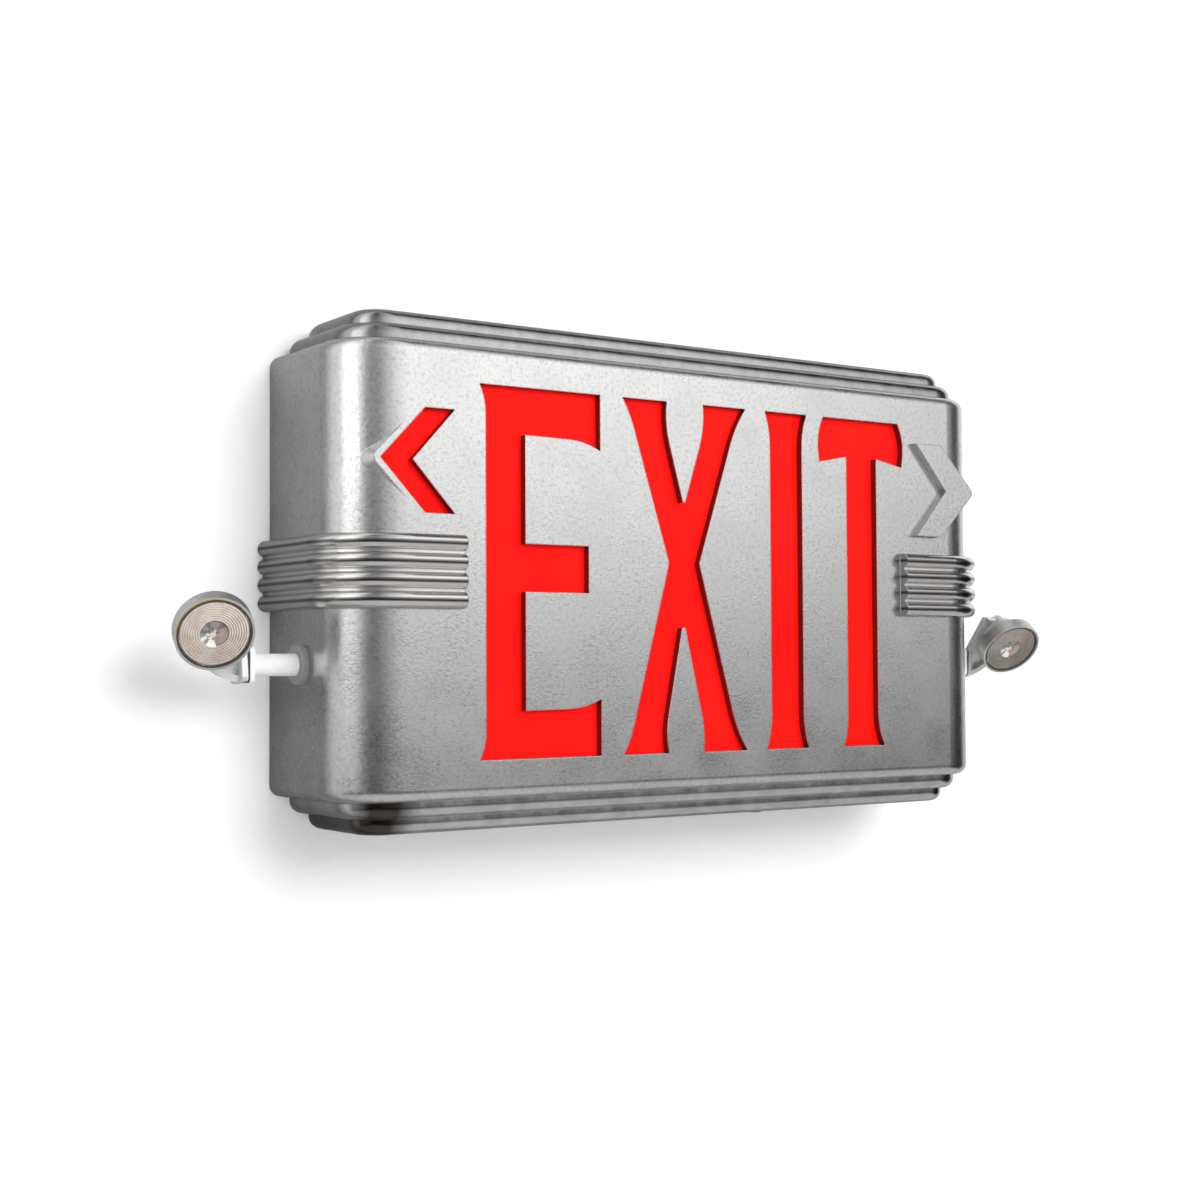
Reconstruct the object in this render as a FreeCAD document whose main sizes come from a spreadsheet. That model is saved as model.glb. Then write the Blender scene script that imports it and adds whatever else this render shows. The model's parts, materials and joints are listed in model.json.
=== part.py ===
import FreeCAD, Part
import math
import os

import Sketcher

# Wall-mounted emergency exit sign with two adjustable lamp heads.
# Millimetres. +Z is up, the face looks toward -Y, and the wall is the plane Y = 0.
# The origin is the middle of the sign on the wall plane.

DIMENSIONS = {
    # cast cover
    "sign_width": 349.2, "sign_height": 211, "sign_depth": 73, "corner_radius": 26,
    "tier_inset": 6.3, "main_height": 184.4, "middle_height": 198,
    "shoulder_radius": 5, "middle_rear": 14, "middle_run": 9, "outer_rear": 26, "outer_run": 16.7,
    "wall": 3.5,
    # lettering and chevrons, cut through the face
    "letter_half": 76.2, "stroke": 18.9, "chevron_level": 43.6, "chevron_half": 21,
    "chevron_tip": 161, "chevron_shoulder": 141, "chevron_back": 127.4, "chevron_notch": 146.6,
    "pad_tip": 165, "pad_reach": 26, "pad_round": 3, "pad_depth": 8, "pad_slope": 20,
    "plate_level": 45.1, "plate_half": 22.2, "plate_tip": 163.3, "plate_shoulder": 141.1,
    "plate_back": 124.8, "plate_notch": 144.4, "plate_proud": 3.3, "plate_round": 3,
    "plate_land": 0.9, "plug_gap": 0.5, "plug_depth": 3,
    # rib bands round both ends
    "rib_pitch": 7.6, "rib_radius": 3.4, "rib_stub": 2.1, "rib_land": 3.2, "rib_level": -0.5,
    "rib_end_left": 124.5, "rib_end_right": 116.4,
    # diffuser and light box
    "panel_gap": 0.1, "panel_thickness": 1.5, "panel_half": 81.5, "panel_reach": 163,
    "boss_radius": 3.2, "boss_level": 85.6, "boss_pitch": 80, "screw_hole": 1.3,
    "tray_half": 80, "tray_reach": 160, "tray_sheet": 1, "tray_back": 40, "flange_half": 88.2,
    "strip_length": 280, "strip_width": 12, "strip_thickness": 1.6, "chip_pitch": 20,
    # back plate and what it carries
    "plate_sheet": 1.6, "edge_gap": 0.5, "tab_spacing": 220, "tab_width": 20, "tab_depth": 14,
    "tab_screw_depth": 8, "conduit_radius": 11.1, "box_slot_spacing": 88.9, "box_slot_radius": 2.4,
    "box_slot_length": 9, "wall_hole_x": 280, "wall_hole_z": 140, "wall_hole_radius": 2.6,
    # arms and lamp heads
    "arm_depth": 30, "arm_level": -37.4, "arm_end": 199, "arm_radius": 5, "arm_bore": 3,
    "gasket_thickness": 1, "flange_thickness": 2.4, "flange_wide": 12, "flange_tall": 14.2,
    "hub_spacing": 216.4, "hub_depth": 36.8, "hub_level": -17.5, "head_tilt": 34.4,
    "web_tilt": 15, "tilt_left": -6.6, "tilt_right": 6.6, "pan_left": 11.3, "pan_right": 9.7,
    "hub_to_front": 19, "shell_radius": 15.4, "shell_wall": 1.3, "shell_lip": 0.4,
    "shell_depth": 13.5, "shell_side": 5.6, "shell_back": 9.5, "lens_radius": 13.8,
    "pin_radius": 1.2, "running_gap": 0.05,
    # test button and pilot light, in the underside
    "button_x": 60, "pilot_x": 82, "button_depth": 30, "button_radius": 4, "bush_radius": 6,
    "pilot_radius": 2.5,
}

doc = FreeCAD.newDocument("exit_sign")
dims = doc.addObject("Spreadsheet::Sheet", "dims")
for row, (alias, number) in enumerate(DIMENSIONS.items(), start=1):
    dims.set(f"A{row}", alias)
    dims.set(f"B{row}", str(number))
    dims.setAlias(f"B{row}", alias)
doc.recompute()

subparts = []


# ---------------------------------------------------------------- helpers

def value(text):
    """Number that an expression over the sheet comes to."""
    return float(dims.evalExpression(str(text)))


def bind(thing, sizes):
    """Bind properties of an object to expressions over the sheet."""
    for name, text in sizes.items():
        thing.setExpression(name, str(text))


def keep(thing, label):
    """Mark an object as a finished sub-part."""
    thing.Label = label
    subparts.append(thing)
    return thing


def place(thing, x="0", y="0", z="0"):
    """Bind an object's position, leaving its rotation alone."""
    bind(thing, {"Placement.Base.x": x, "Placement.Base.y": y, "Placement.Base.z": z})
    return thing


AIM = {
    "+Z": FreeCAD.Rotation(),
    "+X": FreeCAD.Rotation(FreeCAD.Vector(0, 1, 0), 90),
    "-X": FreeCAD.Rotation(FreeCAD.Vector(0, 1, 0), -90),
    "+Y": FreeCAD.Rotation(FreeCAD.Vector(1, 0, 0), -90),
    "-Y": FreeCAD.Rotation(FreeCAD.Vector(1, 0, 0), 90),
    "-Z": FreeCAD.Rotation(FreeCAD.Vector(1, 0, 0), 180),
}


def block(name, size, corner):
    thing = doc.addObject("Part::Box", name)
    bind(thing, dict(zip(("Length", "Width", "Height"), size)))
    return place(thing, *corner)


def rod(name, radius, length, start, aim="+Z"):
    thing = doc.addObject("Part::Cylinder", name)
    thing.Placement.Rotation = AIM[aim]
    bind(thing, {"Radius": radius, "Height": length})
    return place(thing, *start)


def joined(name, pieces):
    thing = doc.addObject("Part::MultiFuse", name)
    thing.Shapes = pieces
    return thing


def less(name, base, tool):
    thing = doc.addObject("Part::Cut", name)
    thing.Base = base
    thing.Tool = tool
    return thing


def group(name, pieces):
    """Separate solids kept as one compound."""
    thing = doc.addObject("Part::Compound", name)
    thing.Links = pieces
    return thing


def new_body(label):
    return keep(doc.addObject("PartDesign::Body", label), label)


def new_sketch(body, name, role, offset="0"):
    """Sketch on one of the body's own origin planes, moved along its normal."""
    sketch = body.newObject("Sketcher::SketchObject", name)
    plane = next(f for f in body.Origin.OriginFeatures if f.Role == role)
    sketch.AttachmentSupport = (plane, "")
    sketch.MapMode = "FlatFace"
    sketch.setExpression("AttachmentOffset.Base.z", str(offset))
    return sketch


def outline(sketch, corners, closed=True):
    """Chain of edges. A corner is (x, y) or (x, y, r): with r the edge that leaves it
    is an arc of that radius, turning left when r is positive."""
    count = len(corners)
    first = sketch.GeometryCount
    spots = [FreeCAD.Vector(value(c[0]), value(c[1]), 0) for c in corners]
    bends = [value(c[2]) if len(c) > 2 else 0 for c in corners]
    edges = count if closed else count - 1
    for i in range(edges):
        start, end = spots[i], spots[(i + 1) % count]
        if not bends[i]:
            sketch.addGeometry(Part.LineSegment(start, end))
            continue
        chord = end - start
        rise = math.sqrt(bends[i] ** 2 - chord.Length ** 2 / 4)
        side = FreeCAD.Vector(-chord.y, chord.x, 0).normalize() * math.copysign(rise, bends[i])
        circle = Part.Circle((start + end) * 0.5 + side, FreeCAD.Vector(0, 0, 1), abs(bends[i]))
        turn = (start, end) if bends[i] > 0 else (end, start)
        sketch.addGeometry(Part.ArcOfCircle(circle, *(circle.parameter(p) for p in turn)))

    def tip(i, which):
        return first + i, 3 - which if bends[i] < 0 else which

    def pin(where, corner):
        for kind, text in (("DistanceX", corner[0]), ("DistanceY", corner[1])):
            number = sketch.addConstraint(Sketcher.Constraint(kind, -1, 1, *where, value(text)))
            sketch.setExpression(f"Constraints[{number}]", str(text))

    for i in range(edges):
        pin(tip(i, 1), corners[i])
        if closed or i + 1 < edges:
            sketch.addConstraint(Sketcher.Constraint("Coincident", *tip(i, 2), *tip((i + 1) % edges, 1)))
        else:
            pin(tip(i, 2), corners[-1])
        if bends[i]:
            number = sketch.addConstraint(Sketcher.Constraint("Radius", first + i, abs(bends[i])))
            sketch.setExpression(f"Constraints[{number}]", f"abs({corners[i][2]})")


def ring(sketch, x, y, radius):
    """Full circle with its centre and radius bound."""
    centre = FreeCAD.Vector(value(x), value(y), 0)
    edge = sketch.addGeometry(Part.Circle(centre, FreeCAD.Vector(0, 0, 1), value(radius)))
    for kind, text in (("DistanceX", x), ("DistanceY", y)):
        number = sketch.addConstraint(Sketcher.Constraint(kind, -1, 1, edge, 3, value(text)))
        sketch.setExpression(f"Constraints[{number}]", str(text))
    number = sketch.addConstraint(Sketcher.Constraint("Radius", edge, value(radius)))
    sketch.setExpression(f"Constraints[{number}]", str(radius))


def rectangle(sketch, x, y, half_x, half_y):
    outline(sketch, [(f"{x} - {half_x}", f"{y} - {half_y}"), (f"{x} + {half_x}", f"{y} - {half_y}"),
                     (f"{x} + {half_x}", f"{y} + {half_y}"), (f"{x} - {half_x}", f"{y} + {half_y}")])


def slot(sketch, x, y, length, radius):
    """Slot along the sketch's first axis, with round ends."""
    run = f"({length} / 2 - {radius})"
    outline(sketch, [(f"{x} - {run}", f"{y} - {radius}"), (f"{x} + {run}", f"{y} - {radius}", radius),
                     (f"{x} + {run} + {radius}", y, radius), (f"{x} + {run}", f"{y} + {radius}"),
                     (f"{x} - {run}", f"{y} + {radius}", radius), (f"{x} - {run} - {radius}", y, radius)])


def feature(body, kind, sketch, length, middle=False, back=False):
    """Pad or Pocket of a sketch. A feature that changes nothing stops the build."""
    doc.recompute()
    before = body.Shape.Volume if body.Tip else 0
    thing = body.newObject(f"PartDesign::{kind}", f"{sketch.Name}_{kind.lower()}")
    thing.Profile = sketch
    thing.setExpression("Length", str(length))
    thing.Midplane = middle
    thing.Reversed = back
    doc.recompute()
    if abs(body.Shape.Volume - before) < 1e-3:
        raise RuntimeError(f"{thing.Name} changed nothing")
    return thing


# ---------------------------------------------------------------- cast cover

TIERS = (
    # name, inset, height, radius of the rear corners, distance of their start from the wall
    ("main", "0", "dims.main_height", None, None),
    ("middle", "dims.tier_inset", "dims.middle_height", "dims.middle_rear", "dims.middle_run"),
    ("outer", "(2 * dims.tier_inset)", "dims.sign_height", "dims.outer_rear", "dims.outer_run"),
)


def plan(sketch, inset, bend, run, rear="0"):
    """Plan of the housing at an inset, round at the front corners. With a bend the rear corners
    turn in, starting at the given run from the wall. Without one they are square."""
    side = f"(dims.sign_width / 2 - {inset})"
    flat = "(dims.sign_width / 2 - dims.corner_radius)"
    front = f"-(dims.sign_depth - {inset})"
    turn = "-(dims.sign_depth - dims.corner_radius)"
    radius = f"(dims.corner_radius - {inset})"
    nose = [(f"-{side}", turn, radius), (f"-{flat}", front), (flat, front, radius), (side, turn)]
    if bend:
        tail = [(side, f"-{run}", bend), (f"{side} - {bend}", f"{bend} - {run}"),
                (f"-({side} - {bend})", f"{bend} - {run}", bend), (f"-{side}", f"-{run}")]
    else:
        tail = [(side, rear), (f"-{side}", rear)]
    outline(sketch, nose + tail)


def tier(name, inset, height, bend, run):
    """One step of the housing with round shoulders, cut off flat at the wall."""
    body = doc.addObject("PartDesign::Body", f"tier_{name}")
    sketch = new_sketch(body, f"cover_{name}", "XY_Plane")
    plan(sketch, inset, bend, run)
    pad = feature(body, "Pad", sketch, height, middle=True)
    shoulders = [f"Edge{number}" for number, edge in enumerate(body.Shape.Edges, start=1)
                 if edge.BoundBox.ZLength < 0.01 and (bend or edge.BoundBox.YMin < -0.01)]
    fillet = body.newObject("PartDesign::Fillet", f"shoulders_{name}")
    fillet.Base = (pad, shoulders)
    fillet.setExpression("Radius", "dims.shoulder_radius")
    if bend:
        sketch = new_sketch(body, f"wall_side_{name}", "XY_Plane")
        rectangle(sketch, "0", bend, "dims.sign_width / 2", bend)
        feature(body, "Pocket", sketch, "dims.sign_height + 2", middle=True)
    return body


def chevron_level(side):
    return "dims.chevron_level" if side < 0 else "dims.plate_level"


def chevron(sketch, side, tip, shoulder, back, notch, half, rounding=None):
    """Chevron that points away from the sign's middle. side is 1 or -1."""
    level = chevron_level(side)
    if rounding:
        cut = f"({rounding} * sqrt(2) / 2)"
        nose = [(f"{side} * ({tip} - {cut})", f"{level} - {side} * {cut}", rounding),
                (f"{side} * ({tip} - {cut})", f"{level} + {side} * {cut}")]
    else:
        nose = [(f"{side} * {tip}", level)]
    outline(sketch, [(f"{side} * {back}", f"{level} - {side} * {half}"),
                     (f"{side} * {shoulder}", f"{level} - {side} * {half}")] + nose
            + [(f"{side} * {shoulder}", f"{level} + {side} * {half}"),
               (f"{side} * {back}", f"{level} + {side} * {half}"), (f"{side} * {notch}", level)])


def letter_e(sketch):
    """E: a flared stem, a plain middle arm and outer arms that swell at their tips."""
    left, top, wide = -113, "dims.letter_half", "dims.stroke"
    arm, tip, flare, rise = -56.6, 52.4, 2.9, 12
    shelf, swell, middle = 56.7, 15, -62.7
    outline(sketch, [
        (left - flare, f"-{top}"), (arm, f"-{top}"), (arm, -tip, -38),
        (arm - swell, -shelf + 0.4), (f"{left} + {wide}", -shelf),
        (f"{left} + {wide}", -7.9), (middle, -7.9), (middle, 11.8), (f"{left} + {wide}", 11.8),
        (f"{left} + {wide}", shelf), (arm - swell, shelf - 0.4, -38), (arm, tip),
        (arm, top), (left - flare, top, -26), (left, f"{top} - {rise}"),
        (left, f"-({top} - {rise})", -26)])


def letter_x(sketch):
    """X: four arms with hollow flares at the ends and sharp forks above and below."""
    top, line, waist = "dims.letter_half", 60, 6
    outline(sketch, [
        (-44.9, f"-{top}"), (-21.2, f"-{top}", -36), (-21.3, -line), (-13.7, -22.1), (-12, -22.1),
        (-3.1, -line, -48), (-2, f"-{top}"), (22.3, f"-{top}", -62), (14.3, -line), (-4.1, waist),
        (13.9, line, -62), (22.4, top), (-1.5, top, -48), (-3.4, line - 2), (-11.7, 32.7),
        (-13, 32.7), (-20.2, line - 2, -48), (-21.4, top), (-45, top, -62), (-37.9, line),
        (-20.6, waist), (-38.6, -line, -62)])


def letter_i(sketch):
    """I: one stroke, flared at both ends."""
    centre, top, half = 46.1, "dims.letter_half", "dims.stroke / 2"
    flare, rise = 2.9, 15
    outline(sketch, [
        (f"{centre} - {half} - {flare}", f"-{top}"), (f"{centre} + {half} + {flare}", f"-{top}", -41),
        (f"{centre} + {half}", f"-({top} - {rise})"), (f"{centre} + {half}", f"{top} - {rise}", -41),
        (f"{centre} + {half} + {flare}", top), (f"{centre} - {half} - {flare}", top, -41),
        (f"{centre} - {half}", f"{top} - {rise}"), (f"{centre} - {half}", f"-({top} - {rise})", -41)])


def letter_t(sketch):
    """T: a bar with bulging ends and sloping undersides, over a flared stem."""
    centre, top, half = 92.2, "dims.letter_half", "dims.stroke / 2"
    bar, corner, tip, rise = 26.4, 23.5, 55.4, 15
    outline(sketch, [
        (f"{centre} - {half} - 2.7", f"-{top}"), (f"{centre} + {half} + 3.9", f"-{top}", -34),
        (f"{centre} + {half}", f"-({top} - {rise})"), (f"{centre} + {half}", 58.6),
        (centre + bar - 0.4, tip), (centre + bar, tip + 3, 27), (centre + corner, top),
        (centre - corner, top, 27), (centre - bar, tip + 3), (centre - bar + 0.4, tip),
        (f"{centre} - {half}", 58.6), (f"{centre} - {half}", f"-({top} - {rise})", -43)])


def ribs(body, side, end):
    """Four half-round ribs on a low land, from the face round the corner to the wall."""
    name = "ribs_left" if side < 0 else "ribs_right"
    foot = "-(dims.sign_depth - 1)"
    stub = "-(dims.sign_depth + dims.rib_stub)"
    land = "-(dims.sign_depth + dims.rib_land)"
    spread = "sqrt(dims.rib_radius ^ 2 - (dims.rib_land - dims.rib_stub) ^ 2)"
    level = [f"(dims.rib_level + {step} * dims.rib_pitch)" for step in (-1.5, -0.5, 0.5, 1.5)]
    bend = "-dims.rib_radius"
    corners = [(foot, f"{level[0]} - dims.rib_radius"), (stub, f"{level[0]} - dims.rib_radius", bend)]
    for low, high in zip(level, level[1:]):
        corners += [(land, f"{low} + {spread}"), (land, f"{high} - {spread}", bend)]
    corners += [(stub, f"{level[3]} + dims.rib_radius"), (foot, f"{level[3]} + dims.rib_radius")]
    section = new_sketch(body, f"{name}_section", "YZ_Plane", f"{side} * {end}")
    outline(section, corners)
    path = new_sketch(body, f"{name}_path", "XY_Plane")
    flat = f"{side} * (dims.sign_width / 2 - dims.corner_radius)"
    edge = f"{side} * dims.sign_width / 2"
    outline(path, [(f"{side} * {end}", "-dims.sign_depth"),
                   (flat, "-dims.sign_depth", f"{side} * dims.corner_radius"),
                   (edge, "-(dims.sign_depth - dims.corner_radius)"), (edge, "0")], closed=False)
    pipe = body.newObject("PartDesign::AdditivePipe", name)
    pipe.Profile = section
    pipe.Spine = path


def sign_cover():
    blank = joined("cover_blank", [tier(*step) for step in TIERS])
    body = new_body("sign_cover")
    body.BaseFeature = blank

    # the face runs out flat round each chevron's tip, past the start of the corner
    for name, side, tip, rounding in (("pad_left", -1, "dims.pad_tip", "dims.pad_round"),
                                      ("pad_right", 1, "(dims.plate_tip - dims.plate_land)",
                                       "dims.plate_round")):
        sketch = new_sketch(body, name, "XZ_Plane", "dims.sign_depth")
        cut = f"({rounding} * sqrt(2) / 2)"
        reach, level = "dims.pad_reach", chevron_level(side)
        outline(sketch, [(f"{side} * ({tip} - {reach})", f"{level} - {side} * {reach}"),
                         (f"{side} * ({tip} - {cut})", f"{level} - {side} * {cut}", rounding),
                         (f"{side} * ({tip} - {cut})", f"{level} + {side} * {cut}"),
                         (f"{side} * ({tip} - {reach})", f"{level} + {side} * {reach}")])
        pad = feature(body, "Pad", sketch, "dims.pad_depth", back=True)
        if side < 0:
            pad.setExpression("TaperAngle", "dims.pad_slope")

    ribs(body, -1, "dims.rib_end_left")
    ribs(body, 1, "dims.rib_end_right")

    # hollow, stepped like the outside, and open to the wall
    for name, inset, height, bend, run in TIERS:
        sketch = new_sketch(body, f"hollow_{name}", "XY_Plane")
        plan(sketch, f"({inset} + dims.wall)", bend and f"({bend} - dims.wall)", run, "1")
        feature(body, "Pocket", sketch, f"{height} - 2 * dims.wall", middle=True)

    # bosses behind the face for the light box screws
    sketch = new_sketch(body, "face_bosses", "XZ_Plane", "dims.sign_depth - dims.wall + 0.5")
    for x, z in boss_spots():
        ring(sketch, x, z, "dims.boss_radius")
    feature(body, "Pad", sketch, "dims.panel_gap + dims.panel_thickness + 0.5", back=True)
    sketch = new_sketch(body, "boss_holes", "XZ_Plane", "dims.sign_depth - dims.wall + 1.2")
    for x, z in boss_spots():
        ring(sketch, x, z, "dims.screw_hole")
    feature(body, "Pocket", sketch, 6)

    # lettering and chevrons through the face
    for name, draw in (("e", letter_e), ("x", letter_x), ("i", letter_i), ("t", letter_t)):
        sketch = new_sketch(body, f"letter_{name}", "XZ_Plane", "dims.sign_depth + 1")
        draw(sketch)
        feature(body, "Pocket", sketch, "dims.wall + 3")
    for side in (-1, 1):
        sketch = new_sketch(body, "arrow_left" if side < 0 else "arrow_right", "XZ_Plane",
                            "dims.sign_depth + 1")
        chevron(sketch, side, "dims.chevron_tip", "dims.chevron_shoulder", "dims.chevron_back",
                "dims.chevron_notch", "dims.chevron_half")
        feature(body, "Pocket", sketch, 20)

    # bores for the lamp arms, through both side walls
    sketch = new_sketch(body, "arm_bores", "YZ_Plane")
    ring(sketch, "-dims.arm_depth", "dims.arm_level", "dims.arm_radius + 0.1")
    feature(body, "Pocket", sketch, "dims.sign_width + 4", middle=True)

    # counterbored holes for the cover screws, top and bottom
    for name, radius, deep in (("heads", 3.7, "3.1"), ("shanks", 2.2, "dims.wall + 2")):
        for side in (1, -1):
            sketch = new_sketch(body, f"cover_{name}_{'top' if side > 0 else 'base'}", "XY_Plane",
                                f"{side} * (dims.sign_height / 2 + 1)")
            for x in tab_spots():
                ring(sketch, x, "-dims.tab_screw_depth", radius)
            feature(body, "Pocket", sketch, deep, back=side < 0)

    # holes for the test button's bush and the pilot light, in the underside
    sketch = new_sketch(body, "underside_holes", "XY_Plane", "-(dims.sign_height / 2 + 1)")
    ring(sketch, "dims.button_x", "-dims.button_depth", "dims.bush_radius + 0.1")
    ring(sketch, "dims.pilot_x", "-dims.button_depth", "dims.pilot_radius + 0.1")
    feature(body, "Pocket", sketch, "dims.wall + 2", back=True)


def boss_spots():
    """Eight boss centres: four along the top of the face and four along the bottom."""
    return [(f"{step} * dims.boss_pitch", f"{side} * dims.boss_level")
            for step in (-1.5, -0.5, 0.5, 1.5) for side in (-1, 1)]


def tab_spots():
    return "-dims.tab_spacing / 2", "dims.tab_spacing / 2"


def chevron_plate():
    """Blank for the unused arrow: a raised chevron with a plug that fills the opening."""
    body = new_body("chevron_plate")
    sketch = new_sketch(body, "plate_outline", "XZ_Plane", "dims.sign_depth")
    chevron(sketch, 1, "dims.plate_tip", "dims.plate_shoulder", "dims.plate_back",
            "dims.plate_notch", "dims.plate_half", "dims.plate_round")
    feature(body, "Pad", sketch, "dims.plate_proud")
    sketch = new_sketch(body, "plate_plug", "XZ_Plane", "dims.sign_depth + 1")
    gap = "dims.plug_gap"
    chevron(sketch, 1, f"(dims.chevron_tip - 1.5 * {gap})", f"(dims.chevron_shoulder - 0.5 * {gap})",
            f"(dims.chevron_back + 2.5 * {gap})", f"(dims.chevron_notch + 1.5 * {gap})",
            f"(dims.chevron_half - {gap})")
    feature(body, "Pad", sketch, "dims.plug_depth + 1", back=True)


# ---------------------------------------------------------------- diffuser and light box

def curved_sheet(sketch, near, far, reach):
    """Plan of a sheet behind the face whose ends follow the corners."""
    flat = "(dims.sign_width / 2 - dims.corner_radius)"
    turn = "(dims.sign_depth - dims.corner_radius)"
    out, into = f"(dims.corner_radius - {near})", f"(dims.corner_radius - {far})"
    run = f"({reach} - {flat})"
    out_y = f"-({turn} + sqrt({out} ^ 2 - {run} ^ 2))"
    into_y = f"-({turn} + sqrt({into} ^ 2 - {run} ^ 2))"
    outline(sketch, [(f"-{reach}", out_y, out), (f"-{flat}", f"-({turn} + {out})"),
                     (flat, f"-({turn} + {out})", out), (reach, out_y), (reach, into_y, f"-{into}"),
                     (flat, f"-({turn} + {into})"), (f"-{flat}", f"-({turn} + {into})", f"-{into}"),
                     (f"-{reach}", into_y)])


def red_panel():
    body = new_body("red_panel")
    sketch = new_sketch(body, "panel_plan", "XY_Plane")
    near = "(dims.wall + dims.panel_gap)"
    curved_sheet(sketch, near, f"({near} + dims.panel_thickness)", "dims.panel_reach")
    feature(body, "Pad", sketch, "2 * dims.panel_half", middle=True)


def reflector_tray():
    """White channel that holds the light strips and screws to the bosses of the face."""
    body = new_body("reflector_tray")
    near = "(dims.wall + 2 * dims.panel_gap + dims.panel_thickness)"
    flat = "(dims.sign_width / 2 - dims.corner_radius)"
    turn = "(dims.sign_depth - dims.corner_radius)"
    radius = f"(dims.corner_radius - {near})"
    run = f"(dims.tray_reach - {flat})"
    lip = f"-({turn} + sqrt({radius} ^ 2 - {run} ^ 2))"
    front = f"-({turn} + {radius})"

    def channel(name, back, grow):
        sketch = new_sketch(body, name, "XY_Plane")
        reach, ahead = f"(dims.tray_reach + {grow})", f"{front} - {grow}"
        outline(sketch, [(f"-{reach}", back), (f"-{reach}", f"{lip} - {grow}"), (f"-{flat}", ahead),
                         (flat, ahead), (reach, f"{lip} - {grow}"), (reach, back)])
        return sketch

    feature(body, "Pad", channel("tray_plan", "-dims.tray_back", 0), "2 * dims.tray_half", middle=True)
    hollow = channel("tray_hollow", "-(dims.tray_back + dims.tray_sheet)", 2)
    feature(body, "Pocket", hollow, "2 * (dims.tray_half - dims.tray_sheet)", middle=True)
    sketch = new_sketch(body, "tray_flanges", "XZ_Plane", f"-({front})")
    band = "(dims.flange_half - dims.tray_half + dims.tray_sheet) / 2"
    for side in (-1, 1):
        middle = f"{side} * (dims.flange_half - {band})"
        rectangle(sketch, "0", middle, flat, band)
    feature(body, "Pad", sketch, "dims.tray_sheet", back=True)
    sketch = new_sketch(body, "tray_holes", "XZ_Plane", f"-({front}) + 1")
    for x, z in boss_spots():
        ring(sketch, x, z, "dims.screw_hole + 0.4")
    feature(body, "Pocket", sketch, "dims.tray_sheet + 2")


def screw(name, head_radius, head_height, shank_radius, shank_length, spot, aim):
    """Pan head with its driver recess, on a plain shank that starts at the spot."""
    away = {"+": "-", "-": "+"}[aim[0]] + aim[1]
    head = rod(f"{name}_head", head_radius, head_height, spot, away)
    shank = rod(f"{name}_shank", shank_radius, shank_length, spot, aim)
    whole = joined(f"{name}_blank", [head, shank])
    x, y, z = spot
    sink = f"{away[0]}{head_height} / 2"
    start = {"X": (f"{x} {sink}", y, z), "Y": (x, f"{y} {sink}", z), "Z": (x, y, f"{z} {sink}")}[aim[1]]
    recess = rod(f"{name}_recess", f"{head_radius} * 0.45", head_height, start, away)
    return less(name, whole, recess)


def tray_screws():
    seat = ("-(dims.sign_depth - dims.wall - 2 * dims.panel_gap - dims.panel_thickness"
            " - dims.tray_sheet)")
    pieces = [screw(f"tray_screw_{i}", 2.6, 1.6, "dims.screw_hole - 0.02", 3.8, (x, seat, z), "-Y")
              for i, (x, z) in enumerate(boss_spots())]
    keep(group("tray_screws", pieces), "tray_screws")


def light_strip(label, side):
    """Circuit strip along the top or bottom of the tray, with its row of light chips."""
    board_y = "-62"
    inner = "(dims.tray_half - dims.tray_sheet)"
    if side > 0:
        base = f"{inner} - dims.strip_thickness"
        chip_z = f"{base} - 1"
    else:
        base = f"-{inner}"
        chip_z = f"{base} + dims.strip_thickness"
    strip = block(f"{label}_board", ("dims.strip_length", "dims.strip_width", "dims.strip_thickness"),
                  ("-dims.strip_length / 2", board_y, base))
    chips = [block(f"{label}_chip_{i}", (3.5, 2.8, 1), (f"{i - 6.5} * dims.chip_pitch - 1.75", "-57.4", chip_z))
             for i in range(14)]
    keep(joined(label, [strip] + chips), label)


# ---------------------------------------------------------------- back plate and electrics

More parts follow.
